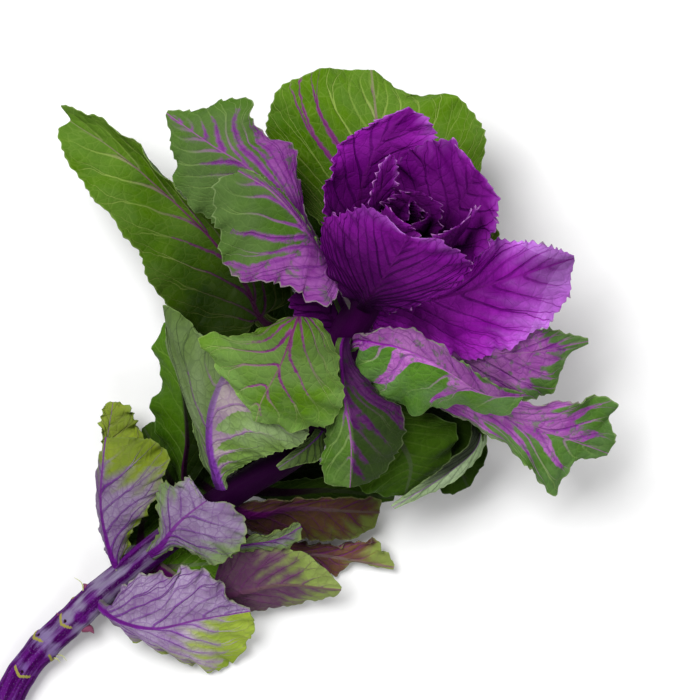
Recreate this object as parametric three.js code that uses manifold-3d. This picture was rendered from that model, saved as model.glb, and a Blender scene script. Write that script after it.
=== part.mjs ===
import * as THREE from 'three';
import Module from 'manifold-3d';

// A cut stem of ornamental kale lying on a table. Millimetres, +Z up, +X along the stem towards the head.

// ---- driving dimensions ----
const SQUARE = 0.36;                 // side of one square of the plan that the leaves are drawn on
const PLAN_MIDDLE = 350;             // middle of the plan, in squares from its left and top edges
const EYE_HEIGHT = 950;              // the plan is drawn as seen from this height above the table
const LEVEL = 50;                    // height at which a square of the plan measures SQUARE
const HEADING = THREE.MathUtils.degToRad(51.5);      // turn from +X to the stem's way, in the plan
const ORIGIN = [-54.475, 21.145];    // middle of the box round the whole, once turned
const HEAD = [413, 212, 95];         // middle of the heart's rim: across, down, height
const HEAD_BEARING = THREE.MathUtils.degToRad(63);   // way the head's axis points, in the plan
const HEAD_RISE = THREE.MathUtils.degToRad(40);      // and its slope above the table
const BLADE = 0.8;                   // thickness of a leaf blade
const RIB_SHAPE = 0.4;               // thickness of a petiole, its width being 1
const FREE_RIB = 1.0;                // thickness of a midrib at its tip
const PETIOLE_PART = 0.16;           // share of a leaf's rows that its petiole takes
const TIP_WIDTH = 1.2;               // half the width at a leaf's very tip
const ROW_STEP = 8;                  // length of rib between two rows of a blade
const BLADE_ROWS = [4, 9];           // fewest and most rows of a blade
const PETIOLE_ROWS = [2, 4];         // and of a petiole
const COLUMNS = [-1, -0.55, -0.15, 0, 0.15, 0.55, 1];
const NOTCH = 0.96;                  // reach of a notch in the margin, a tooth being 1
const WIDE = 14;                     // half width from which a blade waves fully
const ROUNDING = 0.45;               // how round a blade bends away beside its rib
const CREASE = 0.35;                 // how straight a blade leaves its rib, 1 being a fold
const NEAR = 0.6;                    // pull of a row's start to the rib's nearest place
const FAN = 1.35;                    // how far the rows of a blade fan out at its foot
const BELLY_SHAPE = 0.7;             // how evenly a blade's swelling runs along it
const WAVE_REACH = 2.2;              // how closely the waves keep to the margin
const WAVE_START = 6;                // how soon they rise after the foot
const WAVE_END = 5;                  // how late they fade before the tip
const TIP_WAVE = 0.25;               // what is left of them there
const LEFT_PHASE = 1.3;              // lead of the left margin's waves, in radians
const RIB_EDGE = 0.6;                // half the width of a midrib at its tip
const FADE = 0.6;                    // length of a petiole's thinning into the blade, the petiole being 1
const LINE_END = 0.004;              // nearest place to a line's end where its way is taken
const TIP_PLACE = 0.99;              // place on the rib that sets which way the tip faces
const STEM_STEPS = 44;
const STEM_SIDES = 12;
const CORE_STEPS = 4;
const CORE_SIDES = 10;
const END_RISE = 1.5;                // how far a tube's rounded end stands out
const RIB_SAMPLES = 160;             // places tried on a rib for each row of its blade
const STATIONS = 48;                 // rows for which the place is worked out
const SMOOTHING = 6;                 // passes that smooth those places
const GAP = 0.3;                     // air kept between neighbours
const SCAR_LENGTH = 0.0105;          // reach of a scar along the stem, the whole stem being 1
const SCAR_TURN = 0.6;               // and round it, in radians
// Core of the heart: place along the head's axis, radius.
const CORE = [[-34.4, 5.4], [-24, 5], [-14, 3.4]];

const COLOURS = {
  stem: 0x5a1f78,
  purple: 0x6f2090,
  variegated: 0x9a5aa0,
  green: 0x4f7f2c,
  lower: 0x8f7f9e,
};

// Stem line from the cut end: across, down, height, radius.
const STEM = [
  [-14, 748, 5.9, 5.9],
  [2, 712, 5.9, 5.7],
  [20, 676, 6.2, 5.5],
  [42, 648, 7.2, 5.5],
  [70, 622, 9, 5.5],
  [100, 594, 12, 5.4],
  [130, 569, 15.5, 5.4],
  [160, 545, 19, 5.4],
  [205, 512, 25, 5.3],
  [250, 481, 31, 5.3],
  [298, 449, 38, 5.6],
  [330, 400, 46, 6.3],
  [347, 335, 57, 6.6],
  [363, 308, 65, 6.2],
  [376, 284, 72.3, 5.6],
];

// Scars: place along the stem line, turn round it in degrees, rise.
const SCARS = [
  [0.13, 60, 0.9],
  [0.17, 200, 0.8],
  [0.22, 100, 0.7],
  [0.26, 20, 0.8],
  [0.31, 150, 0.9],
  [0.36, -20, 0.9],
];

// Leaves. Every point is across and down in squares of the plan, then height in mm; a polar leaf's are
// turn in degrees, radius and place along the head's axis in mm. rib runs from foot to tip, left and right
// are the margins as seen from the upper face, blade is the share of the rib before the blade starts,
// petiole its half width, wave and waves the height and number of the waves along a margin.
const LEAVES = [
  { name: 'heart_core', look: 'purple', polar: true, blade: 0.2, petiole: 1.2, wave: 0.3, waves: 5,
    rib: [[150, 2, -18], [150, 3.5, -8], [150, 3.8, -1], [150, 2.5, 3]],
    left: [[240, 4, -8], [270, 4.4, -1]],
    right: [[60, 4, -8], [30, 4.4, -1]] },
  { name: 'heart_curl', look: 'purple', polar: true, blade: 0.2, petiole: 1.4, wave: 0.4, waves: 6,
    rib: [[20, 3, -22], [20, 6, -12], [20, 6.6, -3], [20, 5.6, 0.5]],
    left: [[95, 6, -12], [110, 6.2, -3]],
    right: [[-60, 6, -12], [-85, 6.4, -3]] },
  { name: 'heart_ring_back', look: 'purple', blade: 0.2, petiole: 2.2, wave: 0.6, waves: 8,
    rib: [[388, 263, 75], [404, 235, 79], [415, 212, 84], [421, 192, 88]],
    left: [[378, 228, 83], [383, 206, 91], [398, 193, 90]],
    right: [[424, 250, 85], [440, 232, 93], [443, 207, 92]] },
  { name: 'heart_ring_front', look: 'purple', polar: true, blade: 0.2, petiole: 1.8, wave: 0.5, waves: 7,
    rib: [[232, 3.5, -28], [232, 8.5, -16], [232, 9, -5], [232, 8, 0]],
    left: [[300, 9, -14], [312, 10, -3], [280, 9.2, 1]],
    right: [[172, 9.5, -14], [185, 9.6, -3], [200, 9.2, 0]] },
  { name: 'heart_right', look: 'purple', blade: 0.2, petiole: 2, wave: 0.8, waves: 7,
    rib: [[386, 286, 74.8], [419, 277, 85.9], [444, 253, 96.7], [458, 226, 104]],
    left: [[434, 254, 80.7], [463, 227, 87.6], [476, 207, 96]],
    right: [[400, 273, 91.5], [408, 252, 101.3], [435, 236, 106]] },
  { name: 'heart_left', look: 'purple', blade: 0.2, petiole: 2, wave: 0.8, waves: 6,
    rib: [[370, 276, 72.6], [370, 238, 80], [378, 197, 90], [392, 155, 93]],
    left: [[362, 239, 84], [366, 215, 92], [373, 185, 95], [381, 164, 95]],
    right: [[383, 221, 79], [394, 192, 87], [398, 168, 90]] },
  { name: 'purple_back_left', look: 'purple', blade: 0.22, petiole: 3, wave: 1.6, waves: 6,
    belly: [-2, -2],
    rib: [[365, 286, 67.6], [357, 243, 69], [362, 185, 75.7], [385, 135, 81.7], [411, 109, 85.5]],
    left: [[352, 245, 78.6], [324, 216, 88], [325, 190, 88], [334, 160, 86], [340, 141, 83],
      [354, 134, 82], [376, 121, 83]],
    right: [[392, 222, 69.8], [419, 180, 74.2], [436, 142, 81.6], [430, 119, 84.3]] },
  { name: 'purple_back_right', look: 'purple', blade: 0.22, petiole: 3, wave: 1.4, waves: 8,
    belly: [-1, -1],
    rib: [[383, 286, 68.8], [416, 260, 69.8], [450, 219, 76], [478, 172, 88]],
    left: [[399, 225, 72.9], [393, 185, 78.2], [405, 152, 86], [425, 142, 86], [446, 139, 86],
      [463, 150, 86.5]],
    right: [[431, 273, 82.1], [457, 277, 94], [482, 253, 98], [496, 225, 93.5], [498, 200, 91],
      [487, 180, 89.5]] },
  { name: 'purple_front', look: 'purple', blade: 0.2, petiole: 3, wave: 1, waves: 8, belly: [0, 0],
    rib: [[364, 308, 69.8], [366, 304, 82.5], [376, 289, 99], [392, 264, 110.9], [408, 236, 117.3]],
    left: [[393, 312, 94.4], [428, 300, 102.4], [458, 284, 105], [471, 264, 107.6], [454, 248, 114],
      [438, 239, 116.5]],
    right: [[342, 294, 87], [325, 262, 88], [321, 224, 92], [345, 212, 107], [366, 206, 116],
      [383, 214, 118], [397, 228, 118]] },
  { name: 'purple_right_large', look: 'purple', blade: 0.1, petiole: 3, wave: 1.6, waves: 7,
    rib: [[352, 318, 62], [385, 304, 70], [445, 296, 78], [510, 278, 80], [574, 258, 74]],
    left: [[415, 284, 76], [452, 268, 80], [478, 252, 80], [489, 241, 80], [512, 239, 80],
      [536, 242, 80], [557, 248, 78]],
    right: [[374, 330, 60], [405, 333, 61], [432, 345, 61], [462, 359, 62], [490, 355, 62],
      [515, 345, 64], [545, 326, 68], [566, 302, 70], [571, 280, 72]] },
  { name: 'pink_right_upper', look: 'variegated', blade: 0.2, petiole: 3, wave: 1.8, waves: 7,
    rib: [[352, 325, 60], [400, 345, 58], [460, 352, 60], [530, 352, 60], [588, 341, 54]],
    left: [[440, 330, 58], [500, 325, 60], [545, 328, 60]],
    right: [[420, 372, 52], [470, 385, 50], [522, 399, 50], [548, 395, 50], [562, 372, 52],
      [567, 356, 54]] },
  { name: 'pink_right_lower', look: 'variegated', blade: 0.3, petiole: 3, wave: 1.6, waves: 6, phase: 2,
    rib: [[345, 345, 55], [390, 380, 46], [450, 400, 48], [508, 416, 54], [555, 434, 50],
      [608, 453, 40]],
    left: [[470, 395, 52], [520, 401, 58], [562, 403, 58], [600, 397, 50], [617, 401, 48],
      [611, 421, 46], [616, 438, 43]],
    right: [[462, 420, 46], [490, 435, 46], [525, 463, 44], [554, 496, 36], [563, 480, 38],
      [572, 462, 42], [592, 459, 41]] },
  { name: 'fold_right', look: 'variegated', blade: 0.16, petiole: 3, wave: 1.4, waves: 7, fan: 1,
    near: 0.3,
    rib: [[351, 345, 58], [358, 341, 69], [374, 342, 83], [408, 350, 89], [446, 370, 87],
      [486, 394, 78], [523, 396, 69]],
    left: [[366, 334, 81], [386, 327, 84], [412, 329, 85], [436, 342, 85], [465, 364, 82],
      [496, 384, 76]],
    right: [[354, 373, 66], [373, 392, 61], [396, 405, 60], [420, 412, 60], [455, 405, 62],
      [498, 416, 62], [516, 408, 66]] },
  { name: 'upper_left', look: 'variegated', blade: 0.26, petiole: 3, wave: 1.6, waves: 7, near: 1,
    rib: [[350, 322, 58], [330, 276, 61], [312, 240, 69], [290, 205, 76], [255, 172, 78],
      [212, 145, 72], [167, 113, 60]],
    left: [[285, 245, 64], [245, 235, 60], [205, 218, 56], [178, 190, 56], [173, 150, 58]],
    right: [[308, 218, 74], [300, 185, 72], [290, 142, 72], [268, 138, 70], [255, 120, 72],
      [250, 99, 72], [228, 100, 70], [198, 110, 66]] },
  { name: 'upper_left_front', look: 'variegated', blade: 0.28, petiole: 3, wave: 1.6, waves: 9,
    rib: [[356, 312, 66], [338, 280, 68], [319, 252, 78], [302, 226, 86], [272, 192, 90],
      [238, 171, 84]],
    left: [[337, 300, 88], [324, 307, 88], [298, 292, 86], [266, 282, 84], [244, 283, 82],
      [224, 264, 80], [217, 228, 80], [213, 198, 80], [220, 178, 82]],
    right: [[309, 229, 82], [293, 204, 84], [268, 180, 86], [250, 170, 85]] },
  { name: 'back_top', look: 'green', blade: 0.2, petiole: 3, wave: 2.2, waves: 6, near: 0.3,
    rib: [[366, 290, 62], [372, 235, 50], [378, 150, 46], [371, 70, 38]],
    left: [[340, 245, 54], [300, 200, 54], [268, 142, 50], [268, 115, 46], [284, 84, 44], [320, 70, 42],
      [347, 69, 38]],
    right: [[410, 240, 50], [470, 190, 48], [482, 165, 46], [485, 136, 44], [466, 104, 40],
      [438, 93, 38], [405, 95, 36], [386, 79, 36]] },
  { name: 'long_left', look: 'green', blade: 0.26, petiole: 3.2, wave: 1.4, waves: 7,
    rib: [[344, 345, 55], [305, 332, 44], [264, 322, 44], [246, 285, 42], [213, 240, 40],
      [163, 191, 38], [112, 148, 38], [70, 121, 36]],
    left: [[240, 341, 44], [202, 337, 43], [168, 307, 40], [153, 288, 40], [138, 254, 40],
      [103, 209, 40], [78, 178, 38], [60, 144, 38], [58, 129, 37]],
    right: [[292, 298, 45], [275, 262, 48], [225, 222, 50], [185, 198, 50], [165, 178, 50],
      [132, 141, 50], [104, 121, 47], [80, 110, 42], [60, 105, 37.5]] },
  { name: 'drape_left', look: 'green', blade: 0.45, petiole: 3, wave: 1.2, waves: 6, near: 0.3, fan: 1,
    rib: [[325, 395, 46], [316, 362, 62], [306, 332, 80], [299, 318, 90], [293, 332, 95],
      [281, 364, 87], [262, 400, 72], [256, 421, 60]],
    left: [[320, 320, 90], [333, 342, 88], [340, 372, 82], [343, 405, 73], [326, 425, 64],
      [292, 429, 60]],
    right: [[284, 318, 90], [248, 334, 80], [200, 337, 70], [213, 362, 68], [232, 388, 66],
      [250, 410, 64]] },
  { name: 'drape_centre', look: 'green', blade: 0.14, petiole: 3, wave: 1.2, waves: 6,
    rib: [[347, 334, 58], [342, 350, 70], [344, 392, 72], [351, 440, 65], [350, 487, 50]],
    left: [[354, 362, 70], [380, 392, 66], [404, 413, 61], [405, 430, 58], [396, 455, 53],
      [375, 480, 49]],
    right: [[337, 362, 68], [335, 390, 64], [327, 430, 54], [321, 464, 50], [326, 483, 49]] },
  { name: 'below_centre', look: 'green', blade: 0.16, petiole: 3, wave: 1.2, waves: 7,
    rib: [[342, 372, 48], [370, 400, 52], [392, 430, 52], [410, 462, 45], [405, 495, 34]],
    left: [[410, 408, 48], [440, 418, 47], [457, 427, 43], [452, 450, 38], [440, 474, 33]],
    right: [[362, 440, 44], [350, 480, 36], [365, 491, 34], [385, 496, 33]] },
  { name: 'cup_right', look: 'green', blade: 0.25, petiole: 3, wave: 0.8, waves: 6,
    rib: [[342, 365, 48], [400, 405, 38], [440, 432, 32], [462, 466, 32]],
    left: [[430, 402, 42], [465, 407, 42], [484, 424, 42], [483, 440, 40], [472, 456, 36]],
    right: [[395, 430, 28], [400, 470, 26], [425, 488, 28], [447, 477, 30]] },
  { name: 'cup_right_edge', look: 'green', blade: 0.45, petiole: 2.2, wave: 0.4, waves: 4,
    rib: [[345, 362, 44], [400, 385, 33], [455, 400, 31], [478, 424, 37], [476, 446, 42],
      [448, 472, 42], [393, 507, 34]],
    left: [[485, 424, 34], [484, 448, 38], [456, 480, 38], [424, 496, 36]],
    right: [[471, 420, 39], [468, 443, 46], [443, 466, 46], [415, 487, 39]] },
  { name: 'cup_right_behind', look: 'green', blade: 0.25, petiole: 3, wave: 1.2, waves: 6,
    rib: [[340, 375, 44], [400, 420, 30], [450, 455, 22], [468, 487, 18]],
    left: [[450, 420, 26], [485, 438, 24], [487, 457, 22], [477, 474, 20]],
    right: [[405, 450, 22], [438, 489, 18], [453, 494, 17]] },
  { name: 'standing_left', look: 'green', blade: 0.1, petiole: 3, wave: 1, waves: 8, near: 0.3, phase: 2,
    rib: [[226, 496, 28], [215, 468, 38], [210, 440, 48], [214, 402, 58], [229, 372, 61],
      [260, 362, 60], [295, 385, 56]],
    left: [[228, 476, 38], [262, 457, 48], [303, 443, 54], [309, 430, 56], [306, 408, 56]],
    right: [[200, 458, 37], [190, 402, 42], [170, 348, 46], [163, 304, 48], [185, 318, 53],
      [208, 340, 58], [250, 347, 59]] },
  { name: 'small_grey', look: 'green', blade: 0.15, petiole: 2, wave: 0.8, waves: 5,
    rib: [[322, 412, 44], [322, 430, 47], [308, 446, 47], [278, 468, 45]],
    left: [[322, 458, 46], [300, 465, 45]],
    right: [[310, 436, 48], [288, 455, 46]] },
  { name: 'dark_left', look: 'green', blade: 0.16, petiole: 3, wave: 1.8, waves: 6,
    rib: [[210, 508, 25], [186, 482, 24], [188, 440, 26], [183, 390, 28], [172, 345, 27],
      [166, 322, 25]],
    left: [[176, 472, 20], [160, 440, 18], [152, 405, 16], [164, 372, 18], [153, 357, 18],
      [158, 337, 20]],
    right: [[202, 470, 26], [214, 430, 28], [208, 390, 30], [188, 340, 30]] },
  { name: 'dark_left_behind', look: 'green', blade: 0.2, petiole: 3, wave: 1.4, waves: 5,
    rib: [[195, 519, 22], [172, 484, 12], [156, 450, 9], [144, 427, 7]],
    left: [[158, 478, 7], [145, 452, 5], [142, 436, 5]],
    right: [[184, 455, 10], [168, 430, 9], [153, 421, 8]] },
  { name: 'lower_left_tall', look: 'lower', blade: 0.08, petiole: 2.5, wave: 1.6, waves: 6,
    rib: [[120, 577, 15], [110, 548, 21], [102, 505, 26], [104, 462, 30], [107, 437, 30]],
    left: [[120, 566, 16], [134, 528, 22], [152, 505, 28], [168, 470, 31], [160, 443, 32],
      [135, 438, 32]],
    right: [[106, 540, 9], [102, 500, 9], [103, 465, 13]] },
  { name: 'lower_left_tip', look: 'lower', blade: 0.5, petiole: 2, wave: 1.6, waves: 6,
    rib: [[124, 572, 12], [108, 500, 16], [106, 450, 18], [113, 402, 18]],
    left: [[104, 450, 20], [100, 420, 20], [103, 405, 19]],
    right: [[130, 462, 14], [142, 434, 14], [139, 418, 15], [123, 402, 17]] },
  { name: 'lower_shield', look: 'lower', blade: 0.1, petiole: 2.8, wave: 1, waves: 8, near: 1,
    rib: [[148, 556, 20], [161, 546, 28], [180, 522, 35], [206, 501, 39]],
    left: [[178, 547, 30], [197, 554, 32], [217, 565, 34], [235, 554, 38], [247, 533, 40],
      [231, 504, 39]],
    right: [[159, 530, 29], [157, 508, 29], [158, 483, 30], [176, 484, 33], [189, 476, 37],
      [195, 492, 40]] },
  { name: 'lower_front', look: 'lower', blade: 0.12, petiole: 2.8, wave: 1.6, waves: 8, near: 0.3,
    rib: [[96, 598, 13], [106, 610, 18], [124, 621, 23], [155, 627, 27], [200, 618, 27], [250, 610, 24]],
    left: [[108, 618, 14], [130, 634, 12], [165, 650, 8], [190, 663, 4], [215, 670, 2], [240, 655, 5],
      [254, 625, 14]],
    right: [[114, 604, 20], [122, 588, 24], [147, 572, 29], [170, 575, 31], [185, 566, 32],
      [208, 572, 31], [223, 584, 30], [228, 598, 28]] },
  { name: 'lower_ruffled', look: 'lower', blade: 0.35, petiole: 2.8, wave: 0.4, waves: 6,
    rib: [[150, 560, 15], [185, 584, 15], [224, 594, 17], [280, 584, 21], [341, 589, 17]],
    left: [[240, 611, 9], [285, 606, 7], [320, 599, 8], [337, 595, 13]],
    right: [[222, 560, 24], [245, 542, 28], [270, 546, 30], [300, 551, 29], [322, 566, 25],
      [336, 580, 20]] },
  { name: 'lower_curl', look: 'green', blade: 0.3, petiole: 2, wave: 2.4, waves: 5,
    rib: [[190, 534, 22], [220, 545, 26], [250, 543, 30.5], [278, 538, 32.5], [301, 526, 33.5]],
    left: [[225, 556, 27], [250, 551, 28.5], [278, 549, 31], [297, 544, 32]],
    right: [[232, 538, 31], [260, 535, 34], [285, 529, 35], [297, 521, 35]] },
  { name: 'brown_right', look: 'lower', blade: 0.1, petiole: 2.8, wave: 1, waves: 6,
    rib: [[222, 502, 27], [252, 514, 24], [290, 507, 23], [340, 510, 18], [379, 512, 12]],
    left: [[245, 528, 20], [300, 539, 15], [350, 539, 12], [374, 527, 11]],
    right: [[250, 501, 28], [297, 499, 25], [350, 497, 19], [381, 500, 14]] },
  { name: 'dark_below', look: 'green', blade: 0.15, petiole: 2.8, wave: 1, waves: 5,
    rib: [[240, 488, 30], [280, 492, 20], [330, 490, 15], [394, 498, 9]],
    left: [[290, 480, 19], [340, 478, 14], [375, 486, 11]],
    right: [[280, 503, 15], [330, 502, 11], [375, 503, 8]] },
  { name: 'curly_right', look: 'lower', blade: 0.3, petiole: 2.2, wave: 1, waves: 6,
    rib: [[206, 512, 21], [262, 546, 7], [330, 556, 6], [394, 567, 5]],
    left: [[312, 543, 8], [345, 543, 9], [372, 539, 11], [387, 552, 8]],
    right: [[318, 564, 3.5], [337, 577, 2.5], [352, 561, 4], [378, 567, 4]] },
  { name: 'small_curl', look: 'green', blade: 0.5, petiole: 2, wave: 1, waves: 4,
    rib: [[372, 280, 66], [430, 262, 62], [470, 245, 66], [497, 230, 70]],
    left: [[460, 243, 68], [492, 222, 72]],
    right: [[478, 252, 66], [500, 235, 68]] },
  { name: 'under_back', look: 'green', blade: 0.2, petiole: 3.2, wave: 1.2, waves: 5,
    rib: [[352, 330, 56], [362, 280, 28], [370, 200, 7], [376, 120, -2]],
    left: [[335, 280, 22], [300, 205, 6], [306, 140, -1]],
    right: [[400, 280, 22], [430, 195, 6], [425, 125, -1]] },
  { name: 'under_right', look: 'green', blade: 0.2, petiole: 3.2, wave: 1.2, waves: 5,
    rib: [[345, 345, 54], [400, 362, 28], [470, 366, 9], [545, 372, -2]],
    left: [[420, 338, 26], [490, 338, 9], [535, 350, -1]],
    right: [[420, 390, 20], [480, 400, 6], [530, 390, -1]] },
  { name: 'under_left', look: 'green', blade: 0.2, petiole: 3.2, wave: 1.2, waves: 5,
    rib: [[335, 385, 48], [290, 345, 24], [225, 275, 8], [160, 215, -2]],
    left: [[265, 345, 16], [205, 310, 5], [150, 250, -1]],
    right: [[300, 300, 22], [240, 235, 7], [180, 195, -1]] },
  { name: 'under_front', look: 'green', blade: 0.25, petiole: 3.2, wave: 1, waves: 5,
    rib: [[330, 400, 46], [358, 430, 18], [375, 465, 4], [386, 488, -2]],
    left: [[392, 430, 14], [422, 455, 4], [418, 482, -1]],
    right: [[345, 448, 10], [348, 475, 3], [362, 490, -1]] },
  { name: 'lower_behind', look: 'green', blade: 0.25, petiole: 2.2, wave: 1.2, waves: 5,
    rib: [[120, 578, 13], [160, 568, 10], [200, 564, 9], [226, 562, 9]],
    left: [[155, 550, 12], [190, 546, 11], [222, 552, 10]],
    right: [[150, 584, 8], [188, 588, 7], [222, 574, 7]] },
  { name: 'lower_behind_left', look: 'green', blade: 0.2, petiole: 2.2, wave: 1, waves: 5,
    rib: [[140, 558, 15], [142, 525, 9], [150, 484, 7]],
    left: [[121, 545, 10], [124, 515, 7], [136, 488, 5]],
    right: [[158, 536, 12], [164, 508, 9], [159, 490, 7]] },
  { name: 'under_low_left', look: 'green', blade: 0.25, petiole: 2.4, wave: 1, waves: 4,
    rib: [[222, 500, 24], [196, 478, 11], [168, 448, 5]],
    left: [[186, 496, 13], [162, 476, 8], [152, 456, 4]],
    right: [[228, 470, 14], [206, 445, 7], [184, 434, 4]] },
  { name: 'under_low_right', look: 'green', blade: 0.25, petiole: 2.4, wave: 1, waves: 4,
    rib: [[228, 498, 26], [262, 478, 12], [322, 468, 6]],
    left: [[240, 462, 13], [275, 448, 8], [312, 450, 5]],
    right: [[270, 500, 12], [305, 494, 7], [326, 484, 5]] },
  { name: 'purple_under', look: 'purple', blade: 0.2, petiole: 2.6, wave: 1, waves: 5,
    rib: [[352, 346, 50], [338, 326, 54], [318, 303, 56], [300, 288, 56]],
    left: [[322, 342, 52], [300, 322, 54], [289, 300, 56]],
    right: [[352, 315, 56], [342, 292, 58], [318, 280, 58]] },
];

// ---- places ----
function fromPlan([across, down, height]) {
  const size = SQUARE * (EYE_HEIGHT - height) / (EYE_HEIGHT - LEVEL);
  return new THREE.Vector3((across - PLAN_MIDDLE) * size, (PLAN_MIDDLE - down) * size, height);
}

// The head's axis, and two ways across it: to the right and up at the plan's near side.
const axis = new THREE.Vector3(
  Math.cos(HEAD_RISE) * Math.cos(HEAD_BEARING),
  Math.cos(HEAD_RISE) * Math.sin(HEAD_BEARING),
  Math.sin(HEAD_RISE),
);
const acrossRight = new THREE.Vector3(Math.sin(HEAD_BEARING), -Math.cos(HEAD_BEARING), 0);
const acrossUp = new THREE.Vector3().crossVectors(axis, acrossRight);

function fromHead([turn, radius, along]) {
  const angle = THREE.MathUtils.degToRad(turn);
  return fromPlan(HEAD)
    .addScaledVector(acrossRight, radius * Math.cos(angle))
    .addScaledVector(acrossUp, radius * Math.sin(angle))
    .addScaledVector(axis, along);
}

const curveThrough = (points) => new THREE.CatmullRomCurve3(points);
const tangentOf = (curve, at) => curve.getTangentAt(THREE.MathUtils.clamp(at, LINE_END, 1 - LINE_END));
// The part of a way that stands square to another, as a unit.
const across = (way, along) => way.clone().addScaledVector(along, -way.dot(along)).normalize();

// A list with its inner entries smoothed a few times.
function smoothed(list, blend) {
  let result = list;
  for (let pass = 0; pass < SMOOTHING; pass += 1) {
    const last = result;
    result = last.map((entry, i) => (i % STATIONS ? blend(last[i - 1], entry, last[i + 1]) : entry));
  }
  return result;
}

// Where on its rib each row of a blade starts, between an even fan and the rib's nearest places to the
// margins, and the way from the left margin to the right across the rib there.
function rowStations(leaf, ribCurve, margins, footSide) {
  const samples = Array.from({ length: RIB_SAMPLES + 1 }, (_, i) => {
    const at = THREE.MathUtils.lerp(leaf.blade, 1, i / RIB_SAMPLES);
    return { at, point: ribCurve.getPointAt(at) };
  });
  const nearest = (point) => samples.reduce((a, b) => (
    b.point.distanceToSquared(point) < a.point.distanceToSquared(point) ? b : a)).at;
  const rows = Array.from({ length: STATIONS + 1 }, (_, i) => ({
    left: margins.left.getPointAt(i / STATIONS),
    right: margins.right.getPointAt(i / STATIONS),
  }));

  const nearPlaces = rows.map(({ left, right }) => (nearest(left) + nearest(right)) / 2);
  nearPlaces[0] = leaf.blade;
  nearPlaces[STATIONS] = 1;
  const near = leaf.near ?? NEAR;
  let furthest = 0;
  const places = smoothed(nearPlaces, (a, b, c) => (a + 2 * b + c) / 4).map((at, i) => {
    furthest = Math.max(furthest, at);
    const even = leaf.blade + (1 - leaf.blade) * (i / STATIONS) ** (leaf.fan ?? FAN);
    return THREE.MathUtils.lerp(even, furthest, near);
  });

  const ways = rows.map(({ left, right }) => right.clone().sub(left).normalize());
  ways[0] = footSide;
  ways[STATIONS] = ways[STATIONS - 1];
  const mean = (a, b, c) => a.clone().addScaledVector(b, 2).add(c).divideScalar(4);
  const sides = smoothed(ways, mean).map((side, i) => across(side, tangentOf(ribCurve, places[i])));

  return (up) => {
    const i = Math.min(STATIONS - 1, Math.floor(up * STATIONS));
    const part = up * STATIONS - i;
    return {
      at: THREE.MathUtils.lerp(places[i], places[i + 1], part),
      side: sides[i].clone().lerp(sides[i + 1], part).normalize(),
    };
  };
}

// ---- leaf surface: rows run from the petiole's foot (0) to the tip (1), columns from margin to margin ----
function leafSurface(leaf) {
  const place = leaf.polar ? fromHead : fromPlan;
  const [rib, left, right] = [leaf.rib, leaf.left, leaf.right].map((list) => list.map(place));
  const ribCurve = curveThrough(rib);
  const sideAt = (at, a, b) => across(b.clone().sub(a).normalize(), tangentOf(ribCurve, at));
  const footSide = sideAt(leaf.blade, left[0], right[0]);
  const tipSide = sideAt(TIP_PLACE, left.at(-1), right.at(-1));
  const foot = ribCurve.getPointAt(leaf.blade);
  const margin = (list, sign) => curveThrough([
    foot.clone().addScaledVector(footSide, sign * leaf.petiole),
    ...list,
    rib.at(-1).clone().addScaledVector(tipSide, sign * TIP_WIDTH),
  ]);
  const margins = { left: margin(left, -1), right: margin(right, 1) };
  const station = rowStations(leaf, ribCurve, margins, footSide);
  const [bellyLeft, bellyRight] = leaf.belly ?? [0, 0];
  const crease = leaf.crease ?? CREASE;

  return (row, column) => {
    const up = Math.max(0, (row - PETIOLE_PART) / (1 - PETIOLE_PART));
    const inPetiole = row < PETIOLE_PART;
    const at = inPetiole ? leaf.blade * row / PETIOLE_PART : station(up).at;
    const centre = ribCurve.getPointAt(at);
    const way = tangentOf(ribCurve, at);
    const side = inPetiole ? across(footSide, way) : station(up).side;
    const reach = (curve, sign) => (inPetiole
      ? side.clone().multiplyScalar(sign * leaf.petiole)
      : curve.getPointAt(up).sub(centre));
    const toLeft = reach(margins.left, -1);
    const toRight = reach(margins.right, 1);
    const upper = side.clone().cross(way).normalize();
    const sign = Math.sign(column);
    const out = Math.abs(column);
    const chord = column < 0 ? toLeft : toRight;
    const belly = column < 0 ? bellyLeft : bellyRight;
    const swell = belly * 4 * out * (1 - out) * Math.sin(Math.PI * up) ** BELLY_SHAPE;
    const phase = (leaf.phase ?? 0) + (column < 0 ? LEFT_PHASE : 0);
    const fade = Math.min(1, up * WAVE_START) * Math.min(1, (1 - up) * WAVE_END + TIP_WAVE);
    const narrow = Math.min(1, chord.length() / WIDE);
    const swing = Math.sin(2 * Math.PI * leaf.waves * up + phase);
    const wave = leaf.wave * out ** WAVE_REACH * swing * fade * narrow;
    const rounding = chord.dot(side) + sign * ROUNDING * Math.abs(chord.dot(upper));
    const point = centre.clone()
      .addScaledVector(chord, crease * out + (1 - crease) * out * out)
      .addScaledVector(side, (1 - crease) * rounding * out * (1 - out))
      .addScaledVector(upper, swell + wave);
    return { point, at, fromRib: out * chord.length() };
  };
}

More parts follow.
